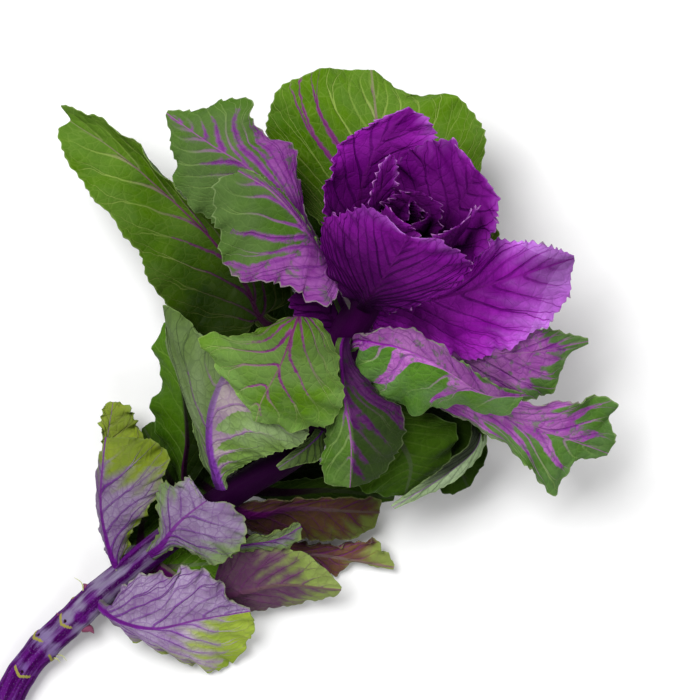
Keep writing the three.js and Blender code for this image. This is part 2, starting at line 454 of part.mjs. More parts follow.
// The rows of a leaf's mid surface, with twice as many points on the margins as on the rib.
function midSurface(leaf) {
  const surface = leafSurface(leaf);
  const length = curveThrough(leaf.rib.map(leaf.polar ? fromHead : fromPlan)).getLength();
  const rowsOver = (share, limits) => (
    THREE.MathUtils.clamp(Math.round(length * share / ROW_STEP), ...limits));
  const bladeRows = rowsOver(1 - leaf.blade, BLADE_ROWS);
  const petioleRows = rowsOver(leaf.blade, PETIOLE_ROWS);
  const rows = Array.from({ length: petioleRows + 1 }, (_, i) => PETIOLE_PART * i / petioleRows);
  for (let i = 1; i <= bladeRows; i += 1) rows.push(PETIOLE_PART + (1 - PETIOLE_PART) * i / bladeRows);
  const points = [];
  const half = [];
  const add = (row, column, notched) => {
    const { point, at, fromRib } = surface(row, column);
    if (notched) point.lerp(surface(row, 0).point, 1 - NOTCH);
    const ribWidth = leaf.petiole * (1 - at) + RIB_EDGE;
    const inPetiole = THREE.MathUtils.clamp((1 - row / PETIOLE_PART) / FADE + 1, 0, 1);
    const thickest = FREE_RIB / 2 + (leaf.petiole * RIB_SHAPE - FREE_RIB / 2) * (1 - at);
    const round = Math.sqrt(Math.max(0, 1 - (fromRib / ribWidth) ** 2)) * (column ? inPetiole : 1);
    points.push(point);
    half.push(BLADE / 2 + Math.max(0, thickest - BLADE / 2) * round);
    return points.length - 1;
  };
  const last = COLUMNS.length - 1;
  const grid = rows.slice(0, -1).map((row) => COLUMNS.map((column) => add(row, column, false)));
  const tip = add(1, 0, false);
  grid.push(COLUMNS.map(() => tip));
  const notches = rows.slice(1).map((row, i) => {
    const middle = (row + rows[i]) / 2;
    return [add(middle, -1, i > 1), add(middle, 1, i > 1)];
  });
  const faces = [];
  for (let i = 0; i < rows.length - 1; i += 1) {
    const [a, b] = [grid[i], grid[i + 1]];
    const [leftNotch, rightNotch] = notches[i];
    faces.push([a[0], a[1], leftNotch], [leftNotch, a[1], b[1]], [leftNotch, b[1], b[0]]);
    for (let j = 1; j < last - 1; j += 1) {
      if (j < last / 2) faces.push([a[j], a[j + 1], b[j]], [a[j + 1], b[j + 1], b[j]]);
      else faces.push([a[j], a[j + 1], b[j + 1]], [a[j], b[j + 1], b[j]]);
    }
    const [c, d] = [last - 1, last];
    faces.push([a[c], a[d], rightNotch], [a[c], rightNotch, b[c]], [b[c], rightNotch, b[d]]);
  }
  return { points, half, faces: faces.filter(([a, b, c]) => a !== b && b !== c && c !== a) };
}

// A closed sheet on both sides of a mid surface. What would dip below the table lies flat on it.
function sheet({ points, half, faces }, extra = 0) {
  const middle = new THREE.BufferGeometry().setFromPoints(points);
  middle.setIndex(faces.flat());
  middle.computeVertexNormals();
  const normals = middle.getAttribute('normal');
  const tops = [];
  const bottoms = [];
  points.forEach((point, i) => {
    const out = new THREE.Vector3().fromBufferAttribute(normals, i).multiplyScalar(half[i] + extra);
    const [top, bottom] = [point.clone().add(out), point.clone().sub(out)];
    const lift = Math.max(0, -extra - Math.min(top.z, bottom.z));
    top.z += lift;
    bottom.z += lift;
    tops.push(top);
    bottoms.push(bottom);
  });
  const count = points.length;
  const edges = new Map();
  const triangles = [];
  for (const face of faces) {
    triangles.push(face, face.map((i) => i + count).reverse());
    face.forEach((a, k) => {
      const b = face[(k + 1) % 3];
      if (!edges.delete(`${b} ${a}`)) edges.set(`${a} ${b}`, [a, b]);
    });
  }
  for (const [a, b] of edges.values()) triangles.push([b, a, a + count], [b, a + count, b + count]);
  return { vertices: [...tops, ...bottoms], triangles };
}

// ---- tube: rings along a line, a flat foot, a rounded end and bumps where leaves have fallen ----
function tube({ line, radii, steps, sides, scars = [] }, extra = 0) {
  const up = new THREE.Vector3(0, 0, 1);
  const vertices = [];
  for (let i = 0; i <= steps; i += 1) {
    const t = i / steps;
    const centre = line.getPoint(t);
    const side = line.getTangent(t).cross(up).normalize();
    const top = side.clone().cross(line.getTangent(t));
    const k = Math.min(radii.length - 2, Math.floor(t * (radii.length - 1)));
    const radius = THREE.MathUtils.lerp(radii[k], radii[k + 1], t * (radii.length - 1) - k) + extra;
    for (let j = 0; j < sides; j += 1) {
      const angle = 2 * Math.PI * j / sides;
      const bump = scars.reduce((sum, [along, turn, rise]) => {
        const from = angle - THREE.MathUtils.degToRad(turn);
        const off = THREE.MathUtils.euclideanModulo(from + Math.PI, 2 * Math.PI) - Math.PI;
        return sum + rise * Math.exp(-(((t - along) / SCAR_LENGTH) ** 2) - (off / SCAR_TURN) ** 2);
      }, 0);
      const point = centre.clone()
        .addScaledVector(side, (radius + bump) * Math.cos(angle))
        .addScaledVector(top, (radius + bump) * Math.sin(angle));
      point.z = Math.max(point.z, -extra);
      vertices.push(point);
    }
  }
  const start = vertices.push(line.getPoint(0)) - 1;
  const end = vertices.push(line.getPoint(1).addScaledVector(line.getTangent(1), END_RISE + extra)) - 1;
  const triangles = [];
  for (let j = 0; j < sides; j += 1) {
    const next = (j + 1) % sides;
    const rim = steps * sides;
    triangles.push([start, next, j], [end, rim + j, rim + next]);
    for (let i = 0; i < steps; i += 1) {
      const [a, b] = [i * sides, (i + 1) * sides];
      triangles.push([a + j, a + next, b + next], [a + j, b + next, b + j]);
    }
  }
  return { vertices, triangles };
}

const stem = {
  line: curveThrough(STEM.map(([across, down, height]) => fromPlan([across, down, height]))),
  radii: STEM.map(([, , , radius]) => radius),
  steps: STEM_STEPS,
  sides: STEM_SIDES,
  scars: SCARS,
};

// The heart's leaves stand on a short core that tapers up the head's axis.
const core = {
  line: curveThrough(CORE.map(([along]) => fromHead([0, 0, along]))),
  radii: CORE.map(([, radius]) => radius),
  steps: CORE_STEPS,
  sides: CORE_SIDES,
};

// ---- solids ----
const wasm = await Module();
wasm.setup();

function solidOf({ vertices, triangles }) {
  const solid = new wasm.Manifold(new wasm.Mesh({
    numProp: 3,
    vertProperties: new Float32Array(vertices.flatMap((v) => v.toArray())),
    triVerts: new Uint32Array(triangles.flat()),
  }));
  if (solid.volume() > 0) return solid;
  return solidOf({ vertices, triangles: triangles.map((face) => [...face].reverse()) });
}

const largest = (solid) => solid.decompose().sort((a, b) => b.volume() - a.volume())[0];

function meshOf(name, solid, look) {
  const { numProp, vertProperties, triVerts } = solid.getMesh();
  const geometry = new THREE.BufferGeometry();
  geometry.setAttribute('position', new THREE.BufferAttribute(new Float32Array(vertProperties), numProp));
  geometry.setIndex([...triVerts]);
  geometry.computeVertexNormals();
  const material = new THREE.MeshStandardMaterial({ color: COLOURS[look], roughness: 0.55, metalness: 0 });
  const mesh = new THREE.Mesh(geometry, material);
  mesh.name = name;
  return mesh;
}

const kale = new THREE.Group();
kale.rotation.z = -HEADING;
kale.position.set(-ORIGIN[0], -ORIGIN[1], 0);

// Each piece keeps clear of those placed before it, each of which stands here grown by the gap.
const placed = [];
function place(name, look, solid, grown) {
  const trimmed = placed.reduce((rest, other) => rest.subtract(other), solid);
  kale.add(meshOf(name, largest(trimmed), look));
  placed.push(grown);
}

place('stem', 'stem', solidOf(tube(stem)), solidOf(tube(stem, GAP)));

const heartLeaves = LEAVES.filter((leaf) => leaf.name.startsWith('heart'));
const heart = (extra) => heartLeaves
  .map((leaf) => solidOf(sheet(midSurface(leaf), extra)))
  .reduce((whole, leaf) => whole.add(leaf), solidOf(tube(core, extra)));
place('heart', 'purple', heart(0), heart(GAP));

for (const leaf of LEAVES) {
  if (heartLeaves.includes(leaf)) continue;
  const middle = midSurface(leaf);
  place(leaf.name, leaf.look, solidOf(sheet(middle)), solidOf(sheet(middle, GAP)));
}

export default kale;
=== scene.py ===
"""Looks of a cut stem of ornamental kale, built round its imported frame. Metres, +Z up, +X to the head."""
import math

import bpy
import numpy as np
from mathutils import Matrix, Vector


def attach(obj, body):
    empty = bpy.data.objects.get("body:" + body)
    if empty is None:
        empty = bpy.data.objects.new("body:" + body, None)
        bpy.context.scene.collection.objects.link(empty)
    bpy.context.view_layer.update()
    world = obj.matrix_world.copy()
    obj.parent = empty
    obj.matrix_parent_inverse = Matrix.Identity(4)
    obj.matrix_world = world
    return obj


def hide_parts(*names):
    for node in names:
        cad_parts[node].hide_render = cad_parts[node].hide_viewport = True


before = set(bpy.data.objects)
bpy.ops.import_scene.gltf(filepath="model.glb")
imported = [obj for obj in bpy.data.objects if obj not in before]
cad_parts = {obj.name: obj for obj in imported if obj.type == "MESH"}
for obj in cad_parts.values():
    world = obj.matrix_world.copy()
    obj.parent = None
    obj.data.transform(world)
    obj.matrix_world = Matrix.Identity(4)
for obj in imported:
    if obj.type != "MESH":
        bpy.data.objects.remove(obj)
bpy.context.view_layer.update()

# ---- driving dimensions, in millimetres unless they say otherwise; most repeat the solids' own ----
MM = 0.001            # metres in a millimetre
SQUARE = 0.36         # side of one square of the plan that the leaves are drawn on
PLAN_MIDDLE = 350     # middle of the plan, in squares
EYE_HEIGHT = 950      # the plan is drawn as seen from this height above the table
LEVEL = 50            # height at which a square of the plan measures SQUARE
HEADING = math.radians(51.5)        # turn from +X to the stem's way, in the plan
ORIGIN = (-54.475, 21.145)          # middle of the box round the whole, once turned
HEAD = (413, 212, 95)               # middle of the heart's rim: across, down, height
HEAD_BEARING = math.radians(63)     # way the head's axis points, in the plan
HEAD_RISE = math.radians(40)        # and its slope above the table
BLADE = 0.6           # thickness of a leaf blade
RIM = 0.3             # and at its margin
THINNING = 6          # how closely that thinning keeps to the margin
RIB_SHAPE = 0.4       # thickness of a petiole, its width being 1
RIB_ABOVE = 0.6       # height of a rib above the blade's middle surface, as a share of half its thickness
RIB_BELOW = 1.3       # and its depth below
FREE_RIB = 1.0        # thickness of a midrib at its tip
RIB_EDGE = 0.6        # half the width of a midrib at its tip
PETIOLE_PART = 0.16   # share of a leaf's rows that its petiole takes
TIP_WIDTH = 1.2       # half the width at a leaf's very tip
WIDE = 14             # half width from which a blade waves fully
ROUNDING = 0.45       # how round a blade bends away beside its rib
CREASE = 0.35         # how straight a blade leaves its rib, 1 being a fold
BELLY_SHAPE = 0.7     # how evenly a blade's swelling runs along it
WAVE_REACH = 2.2      # how closely the waves keep to the margin
WAVE_START = 6        # how soon they rise after the foot
WAVE_END = 5          # how late they fade before the tip
TIP_WAVE = 0.25       # what is left of them there
LEFT_PHASE = 1.3      # lead of the left margin's waves, in radians
STATIONS = 48         # rows for which a row's place on its rib is worked out
RIB_TRIES = 161       # places on the rib that are tried for them
SMOOTHING = 6         # passes that smooth those places
LINE_PARTS = 200      # parts in which a line's length is measured
WAY_STEP = 0.004      # part of a line over which its way is taken
STEM_STEPS = 420
STEM_SIDES = 48
SCAR_BEND = 2.9       # how far a scar's arms run up the stem, in mm per radian round it
SCAR_WIDTH = 0.65     # half the width of its arms
SCAR_TURN = 0.6       # and how far they reach round the stem, in radians
SCAR_RISE = 0.35      # how far they stand out
KNOT_RISE = 0.3       # how far the stem swells at a scar
KNOT_WIDTH = 2.5      # and half the length of that swelling
BUD_PLACE = 1.9       # how far above a scar's point its bud sits
BUD_SIZE = (0.7, 0.14)              # half the bud's length, and half its width in radians
BUD_DEPTH = 0.6       # depth of the pit that it lies in
RING_PLACE = 3.5      # how far above a scar the middle of its grey ring lies
RING_WIDTH = 2.6      # and half the width of the ring
SPROUT_START = 4.8    # how far from the stem's middle stalks and roots start
SPROUT_TIP = 0.08     # half the thickness of their tips
FLOOR_REACH = 3000    # half the side of the floor
ROOM_LIGHT = 0.15     # light from all round
SHADED = (90, 130)    # length of stem over which painted shade darkens it beneath the leaves
WAXY = (20, 75)       # and over which its grey bloom thickens
NECK = (185, 215)     # and over which that painted shade eases to a dark purple beneath the head
# Lamps: name, place on the plan, side, power in watts.
LAMPS = [
    ("main_lamp", (-420, 460, 1200), 700, 21),
    ("side_lamp", (900, 200, 900), 900, 5),
    ("front_lamp", (0, -1000, 900), 900, 5),
]
# Scars of fallen leaves: place along the stem line and way they face in degrees round it.
SCARS = [(0.127, 90), (0.175, 15), (0.184, 143), (0.232, 106), (0.262, 200), (0.3, -30)]
# Stalks and roots on the stem: place, way they face, reach, thickness, 0.5 for a stalk or 1 for a root.
SPROUTS = [
    (0.292, 172, 2.4, 1.4, 0.5), (0.247, 5, 4.6, 1.9, 0.5), (0.287, 158, 7.0, 0.26, 1),
    (0.176, 12, 4.2, 0.3, 1), (0.183, 2, 5.2, 0.22, 1), (0.243, -20, 4.6, 0.25, 1),
    (0.188, 165, 1.6, 0.5, 1), (0.232, 150, 2.2, 0.5, 0.5),
]
# ---- looks of the leaves: forms in millimetres, colours as they are seen, 0 to 255 ----
VEIN_LEAD = 0.25      # lead of the veins of one half over the other's
VEIN_BEND = 0.06      # share of the half width in which a vein leaves the rib
SLANT_FADE = 0.7      # how much steeper the veins leave the rib near the tip
STEP_LIMIT = 60       # widest step between two veins that the looks reckon with
UNEVEN = 0.35         # height of a blade's slow bumps
BUMP_RATES = (23, 9)  # radians of those bumps along a half and across it
FRILL_REACH = 5       # how closely the frills keep to the margin
QUILT_STEP = 9        # step between two veins from which the blade swells fully between them
TOOTH_START = 8       # how soon the teeth rise after the foot
TOOTH_END = 25        # how late they fade before the tip
TOOTH_LEVEL = 0.4     # share of a tooth that lies inside the drawn margin
TOOTH_ROOT = 0.2      # share of the half width that bends out with the teeth
TOOTH_WIDE = 6        # half width from which a blade has full teeth
TOOTH_UNEVEN = 0.35   # how uneven the teeth are in place and in length
TOOTH_SHARP = 1.3     # how hollow the sides of a tooth are
TABLE_GAP = 0.1       # air kept above the table
PETIOLE_STEP = 2.5    # length of petiole between two rows of a piece
COLUMN_STEP = 1.9     # width between two columns
COLUMN_SPREAD = 1.15  # how much closer the columns stand beside the rib
ROWS = (40, 300)      # least and most rows of a blade
COLUMNS = (6, 20)     # least and most columns of a half
PETIOLE_ROWS = 5      # least rows of a petiole
RIB_TAPER = 1.8       # how soon the coloured band along a rib grows thin
DEEP_REACH = 1.5      # how closely the full tone keeps to the margin, where a look's middle is deeper
SPECULAR = 0.02       # strength of the leaves' and the stem's shine
PALE = (150, 160, 150)              # tint of the face that is turned away from the sun
FLUSH = 0.9           # strength of a main vein beside the inner colour
RIM_TONE = 0.4        # how much a leaf's tone, painted shade included, darkens its rim, 1 being as much as the leaf
# What each look gives a colour for.
TINTS = "inner inner_2 vein_in outer outer_2 waxy vein_out rib rib_tip rim_tint".split()
LOOKS = {}


def look(name, base, **changes):
    """A look that differs from another one in what it names."""
    LOOKS[name] = {**base, **changes}
    return LOOKS[name]


# What a look says unless it names it. Inner colours run out along the veins, outer ones fill the rest. In
# mm: row_step between a piece's rows, frill_step and tooth_step along the margin, the heights frill,
# quilt and tooth, vein as half a main vein's width, cell of the net, tongue and streak as the width of
# the inner colour along a vein, soft as the blur of its border, rim_width, and notch, which keeps the
# rim's colour out of the notches. run and run_from spread how far the veins reach, flush is how much
# further they stay tinted, deep the tone at the rib, rib_way where along the leaf the rib's tint changes,
# ribs its width, gloss the least and most roughness and relief the bump's strength. The rest are shares:
# bloom of waxy, fleck of outer in inner, net and main of the veins' tints, rim of the rim's, pale of the
# paler underside, and ragged how uneven the inner colour's border is.
COMMON = dict(
    slot="green_leaf", row_step=0.85, frill_step=16, frill=0.8, quilt=0.65, tooth_step=4.4, tooth=1.1,
    vein=0.4, cell=4.2, tongue=9, ragged=0.4, run=0.6, run_from=0.2, streak=0.9, bloom=0.6,
    rib_way=(0.3, 0.75), ribs=1.0, rim_width=0.6, rim=0.4, notch=0.0, gloss=(0.4, 0.56), relief=0.7,
    net_in=0.25, net_out=0.13, main_in=0.75, main_out=0.7, fleck=0.0, pale=0.1, deep=1.0, soft=0.4,
    flush=0.5,
)
rosette = look(
    "rosette", COMMON, slot="purple_leaf", row_step=0.55, frill_step=8, frill=1.1, tooth_step=3.2,
    tooth=2.2, vein=0.36, cell=4.5, tongue=14, ragged=0.0, run=0.0, streak=0.0, rim_width=1.0, rim=0.6,
    notch=1.2, relief=0.9, main_in=0.85, main_out=0.5, net_in=0.16, soft=6.0, pale=0.0, deep=0.5, ribs=0.6,
    inner=(124, 24, 138), inner_2=(100, 8, 114), vein_in=(54, 0, 68), outer=(140, 76, 158),
    outer_2=(122, 52, 140), waxy=(150, 100, 170), vein_out=(76, 8, 96), rib=(84, 4, 92),
    rib_tip=(112, 22, 124), rim_tint=(198, 136, 204),
)
pink_green = look(
    "pink_green", COMMON, slot="pink_green_leaf", frill_step=14, tooth=1.5, fleck=0.7, cell=4.0, tongue=8,
    ragged=0.6, run=0.7, run_from=0.1, streak=1.3, soft=0.7, main_in=0.55, rim_width=0.7, ribs=0.5,
    inner=(158, 88, 166), inner_2=(132, 52, 142), vein_in=(96, 4, 122), outer=(72, 110, 28),
    outer_2=(48, 86, 10), waxy=(100, 126, 72), vein_out=(126, 154, 84), rib=(124, 32, 140),
    rib_tip=(150, 96, 150), rim_tint=(150, 168, 116),
)
green = look(
    "green", COMMON, tongue=2.4, ribs=0.8, streak=0.4, rib_way=(0.5, 1.0), relief=0.9, quilt=0.8,
    inner=(150, 84, 138), inner_2=(132, 60, 124), vein_in=(120, 34, 116), outer=(86, 128, 8),
    outer_2=(58, 100, 0), waxy=(106, 144, 52), vein_out=(164, 190, 92), rib=(128, 56, 112),
    rib_tip=(138, 144, 98), rim_tint=(146, 170, 92),
)
sage = look(
    "sage", COMMON, vein=0.3, bloom=0.8, relief=0.9, pale=0.0, net_out=0.28, inner=(150, 138, 138),
    inner_2=(128, 108, 126), vein_in=(110, 62, 126), outer=(100, 126, 62), outer_2=(82, 110, 42),
    waxy=(130, 150, 106), vein_out=(62, 76, 54), rib=(108, 50, 140), rib_tip=(130, 110, 136),
    rim_tint=(142, 168, 100),
)
look(
    "dark", COMMON, vein=0.25, bloom=0.4, frill=0.7, main_out=0.5, inner=(116, 24, 110),
    inner_2=(84, 8, 84), vein_in=(70, 6, 72), outer=(60, 96, 6), outer_2=(36, 70, 0), waxy=(84, 120, 36),
    vein_out=(104, 136, 52), rib=(58, 14, 52), rib_tip=(84, 106, 60), rim_tint=(116, 144, 84),
)
lower = look(
    "lower", COMMON, slot="low_leaf", row_step=0.7, frill_step=10, frill=1.4, quilt=0.6, tooth_step=3.8,
    tooth=1.0, vein=0.3, tongue=8, ragged=0.7, run=0.3, run_from=0.3, streak=0.6, bloom=0.3,
    rib_way=(0.2, 0.9), rim_width=1.8, rim=0.65, notch=0.8, pale=0.0, soft=3.0, relief=1.0, net_in=0.36,
    net_out=0.2, main_in=0.95, main_out=0.5, ribs=0.6, cell=3.4, inner=(160, 142, 172),
    inner_2=(130, 104, 142), vein_in=(104, 34, 134), outer=(132, 152, 24), outer_2=(102, 126, 12),
    waxy=(150, 164, 84), vein_out=(128, 124, 84), rib=(112, 28, 138), rib_tip=(128, 70, 146),
    rim_tint=(124, 144, 70),
)
brown = look(
    "brown", lower, frill=1.2, tooth_step=4.4, tooth=0.8, vein=0.25, cell=4.2, tongue=9, ragged=0.9,
    rib_way=(0.2, 0.8), ribs=1.0, rim_width=0.8, rim=0.25, notch=0.0, relief=0.7, net_in=0.3, main_in=0.6,
    main_out=0.45, inner=(106, 80, 46), inner_2=(92, 62, 52), vein_in=(104, 28, 104),
    outer=(116, 134, 44), outer_2=(90, 104, 26), waxy=(144, 154, 100), vein_out=(112, 104, 74),
    rib=(104, 14, 104), rib_tip=(112, 92, 84), rim_tint=(140, 156, 96),
)
look("heart", rosette, rim=0.9, rim_width=1.1, notch=1.1, main_in=0.4)
look("spread", rosette, rim_tint=(116, 116, 100), rim=0.8, rim_width=1.4, notch=1.5, main_in=0.6)
look("drape", green, waxy=(110, 142, 74), bloom=0.8, vein_out=(150, 176, 92))
look(
    "tongues", pink_green, run=0.2, streak=0.5, tongue=12, ragged=0.3, relief=0.9, main_in=0.5,
    inner=(166, 102, 170), inner_2=(140, 64, 148), outer=(70, 110, 32), outer_2=(46, 86, 14),
    waxy=(98, 130, 78),
)
look("pale", sage, outer=(112, 130, 94), outer_2=(94, 114, 74), waxy=(134, 150, 120))
look(
    "ruffled", brown, inner=(108, 80, 96), inner_2=(94, 62, 86), outer=(136, 156, 78), outer_2=(112, 132, 54),
)
look("lilac", lower, outer=(126, 150, 100), outer_2=(104, 130, 74), waxy=(148, 164, 132))

# ---- the plan ----
# Stem line from the cut end: across and down in squares, height in mm, radius.
STEM = [
    (-14, 748, 5.9, 5.9), (2, 712, 5.9, 5.7), (20, 676, 6.2, 5.5), (42, 648, 7.2, 5.5), (70, 622, 9, 5.5),
    (100, 594, 12, 5.4), (130, 569, 15.5, 5.4), (160, 545, 19, 5.4), (205, 512, 25, 5.3),
    (250, 481, 31, 5.3), (298, 449, 38, 5.6), (330, 400, 46, 6.3), (347, 335, 57, 6.6), (363, 308, 65, 6.2),
    (376, 284, 72.3, 5.6),
]
# What a leaf says unless it names it: blade is the share of the rib before the blade starts, petiole its
# half width, wave and waves the height and number of the waves along a margin, phase their start in radians,
# belly how far each half swells up, fan and near how far a blade's rows fan out at its foot and keep to the
# nearest place on the rib, veins the side veins of a half and slant how far they run up the leaf. reach is
# how far the inner colour runs out along the veins and tone how light a leaf is: one number, numbers from
# foot to tip, or such numbers for each half. tone is partly the leaf's own lightness and partly painted light
# and shade: darker towards the foot where the leaves shade each other, a half darker or lighter as light
# falls on it, and a leaf lighter where it lies in another's shadow. teeth and frills multiply the look's own.
LEAF = dict(
    polar=False, blade=0.2, petiole=3, waves=6, belly=(0, 0), phase=0, fan=1.35, near=0.6, veins=7,
    slant=0.42, reach=-0.2, tone=1, teeth=1, frills=1,
)
LEAVES = []


def leaf(name, look, rib, left, right, **more):
    """Adds a leaf. Its rib, from foot to tip, and its margins, seen from the upper face, are points in text:
    across and down in squares and height in mm, or, if polar, turn in degrees, radius and place along the
    head's axis in mm."""
    lines = {
        side: [[float(number) for number in point.split()] for point in text.split(",")]
        for side, text in (("rib", rib), ("left", left), ("right", right))
    }
    LEAVES.append({**LEAF, "name": name, "look": look, **lines, **more})


leaf("heart_core", "heart",
    "150 2 -18, 150 3.5 -8, 150 3.8 -1, 150 2.5 3",
    "240 4 -8, 270 4.4 -1",
    "60 4 -8, 30 4.4 -1",
    polar=True, petiole=1.2, wave=0.3, waves=5, reach=1.5, tone=(0.1, 0.2, 0.5), teeth=2, frills=1.5)
leaf("heart_curl", "heart",
    "20 3 -22, 20 6 -12, 20 6.6 -3, 20 5.6 0.5",
    "95 6 -12, 110 6.2 -3",
    "-60 6 -12, -85 6.4 -3",
    polar=True, petiole=1.4, wave=0.4, reach=1.5, tone=(0.05, 0.15, 0.5), teeth=2, frills=1.5)
leaf("heart_ring_back", "heart",
    "388 263 75, 404 235 79, 415 212 84, 421 192 88",
    "378 228 83, 383 206 91, 398 193 90",
    "424 250 85, 440 232 93, 443 207 92",
    petiole=2.2, wave=0.6, waves=8, reach=1.5, tone=(0.04, 0.08, 0.25, 0.7), teeth=2.2, frills=1.5)
leaf("heart_ring_front", "heart",
    "232 3.5 -28, 232 8.5 -16, 232 9 -5, 232 8 0",
    "300 9 -14, 312 10 -3, 280 9.2 1",
    "172 9.5 -14, 185 9.6 -3, 200 9.2 0",
    polar=True, petiole=1.8, wave=0.5, waves=7, reach=1.5, tone=(0.08, 0.2, 0.6, 0.9), teeth=2.2,
    frills=1.5)
leaf("heart_right", "heart",
    "386 286 74.8, 419 277 85.9, 444 253 96.7, 458 226 104",
    "434 254 80.7, 463 227 87.6, 476 207 96",
    "400 273 91.5, 408 252 101.3, 435 236 106",
    petiole=2, wave=0.8, waves=7, reach=(1.5, 1.3, 1.1), tone=(0.2, 0.3, 0.65, 1), teeth=1.8, frills=1.5)
leaf("heart_left", "heart",
    "370 276 72.6, 370 238 80, 378 197 90, 392 155 93",
    "362 239 84, 366 215 92, 373 185 95, 381 164 95",
    "383 221 79, 394 192 87, 398 168 90",
    petiole=2, wave=0.8, reach=(1.5, 1.2, 0.8), tone=(0.2, 0.45, 1, 1.5), teeth=1.6, frills=1.5)
leaf("purple_back_left", "rosette",
    "365 286 67.6, 357 243 69, 362 185 75.7, 385 135 81.7, 411 109 85.5",
    "352 245 78.6, 324 216 88, 325 190 88, 334 160 86, 340 141 83, 354 134 82, 376 121 83",
    "392 222 69.8, 419 180 74.2, 436 142 81.6, 430 119 84.3",
    blade=0.22, wave=1.6, belly=(-2, -2), slant=0.6, reach=(1.5, 1.3, 1.05, 0.95),
    tone=(0.45, 0.85, 1.45, 1.5))
leaf("purple_back_right", "rosette",
    "383 286 68.8, 416 260 69.8, 450 219 76, 478 172 88",
    "399 225 72.9, 393 185 78.2, 405 152 86, 425 142 86, 446 139 86, 463 150 86.5",
    "431 273 82.1, 457 277 94, 482 253 98, 496 225 93.5, 498 200 91, 487 180 89.5",
    blade=0.22, wave=1.4, waves=8, belly=(-1, -1), slant=0.6, reach=(1.5, 1.3, 1.1, 1),
    tone=(0.25, 0.42, 0.85, 1.15))
leaf("purple_front", "rosette",
    "364 308 69.8, 366 304 82.5, 376 289 99, 392 264 110.9, 408 236 117.3",
    "393 312 94.4, 428 300 102.4, 458 284 105, 471 264 107.6, 454 248 114, 438 239 116.5",
    "342 294 87, 325 262 88, 321 224 92, 345 212 107, 366 206 116, 383 214 118, 397 228 118",
    wave=1, waves=8, veins=11, slant=0.85, ribs=0.4, reach=(1.5, 1.2, 0.95, 0.8),
    tone=((0.2, 0.34, 0.85, 1.25), (0.18, 0.3, 0.75, 1.2)))
leaf("purple_right_large", "spread",
    "352 318 62, 385 304 70, 445 296 78, 510 278 80, 574 258 74",
    "415 284 76, 452 268 80, 478 252 80, 489 241 80, 512 239 80, 536 242 80, 557 248 78",
    "374 330 60, 405 333 61, 432 345 61, 462 359 62, 490 355 62, 515 345 64, 545 326 68, 566 302 70, "
    "571 280 72",
    blade=0.1, wave=1.6, waves=7, veins=8, slant=0.7, ribs=0.4, reach=(1.3, 1, 0.5, 0),
    tone=(2.2, 3, 2.45, 1.15))
leaf("pink_right_upper", "tongues",
    "352 325 60, 400 345 58, 460 352 60, 530 352 60, 588 341 54",
    "440 330 58, 500 325 60, 545 328 60",
    "420 372 52, 470 385 50, 522 399 50, 548 395 50, 562 372 52, 567 356 54",
    wave=1.8, waves=7, slant=0.7, ribs=0.3, reach=((1.3, 1.2, 0.7, 0.3, -0.3), (1, 0.9, 0.7, 0.5, -0.1)),
    tone=0.85)
leaf("pink_right_lower", "tongues",
    "345 345 55, 390 380 46, 450 400 48, 508 416 54, 555 434 50, 608 453 40",
    "470 395 52, 520 401 58, 562 403 58, 600 397 50, 617 401 48, 611 421 46, 616 438 43",
    "462 420 46, 490 435 46, 525 463 44, 554 496 36, 563 480 38, 572 462 42, 592 459 41",
    blade=0.3, wave=1.6, phase=2, slant=0.7, ribs=0.3,
    reach=((1.3, 1.1, 0.6, 0.85, 0.3, 0.6, -0.2, -0.3), (0.8, 0.35, 0.8, 0.2, 0.6, -0.1, -0.3, -0.3)),
    tone=(1.2, 1.25, 0.9))
leaf("fold_right", "tongues",
    "351 345 58, 358 341 69, 374 342 83, 408 350 89, 446 370 87, 486 394 78, 523 396 69",
    "366 334 81, 386 327 84, 412 329 85, 436 342 85, 465 364 82, 496 384 76",
    "354 373 66, 373 392 61, 396 405 60, 420 412 60, 455 405 62, 498 416 62, 516 408 66",
    blade=0.16, wave=1.4, waves=7, fan=1, near=0.3, slant=-0.2, ribs=0.2,
    reach=((1.3, 1.3, 1.2, 1.1, 0.8, 0.5), (0.3, 0.3, 0.9, 0.1, 0, 1, 0.1, 0.1, 0.9, 0.1, 0, 0, 0)),
    tone=((0.72, 0.65), (1.35, 1.3)))
leaf("upper_left", "pink_green",
    "350 322 58, 330 276 61, 312 240 69, 290 205 76, 255 172 78, 212 145 72, 167 113 60",
    "285 245 64, 245 235 60, 205 218 56, 178 190 56, 173 150 58",
    "308 218 74, 300 185 72, 290 142 72, 268 138 70, 255 120 72, 250 99 72, 228 100 70, 198 110 66",
    blade=0.26, wave=1.6, waves=7, near=1, veins=9, slant=0.9, ribs=0.3,
    reach=((0.1, 0, 0, -0.1, -0.1, -0.3), (1.2, 0.3, 0, -0.1, -0.3)), tone=(0.5, 0.68, 0.78), teeth=1.3)
leaf("upper_left_front", "pink_green",
    "356 312 66, 338 280 68, 319 252 78, 302 226 86, 272 192 90, 238 171 84",
    "337 300 88, 324 307 88, 298 292 86, 266 282 84, 244 283 82, 224 264 80, 217 228 80, 213 198 80, "
    "220 178 82",
    "309 229 82, 293 204 84, 268 180 86, 250 170 85",
    blade=0.28, wave=1.6, waves=9, veins=8, slant=0.8, ribs=0.3,
    reach=((1.2, 0.5, 0.15, 0, 0, -0.1), (0.4, 0.3, 0.2, 0.1)), tone=0.7, teeth=1.6)
leaf("back_top", "green",
    "366 290 62, 372 235 50, 378 150 46, 371 70 38",
    "340 245 54, 300 200 54, 268 142 50, 268 115 46, 284 84 44, 320 70 42, 347 69 38",
    "410 240 50, 470 190 48, 482 165 46, 485 136 44, 466 104 40, 438 93 38, 405 95 36, 386 79 36",
    wave=2.2, near=0.3, slant=1.2, reach=((-0.3, 0.95, 0.9, -0.3, -0.3, -0.3, -0.3, -0.3), -0.3),
    tone=(0.2, 0.35, 0.55, 0.75, 0.78))
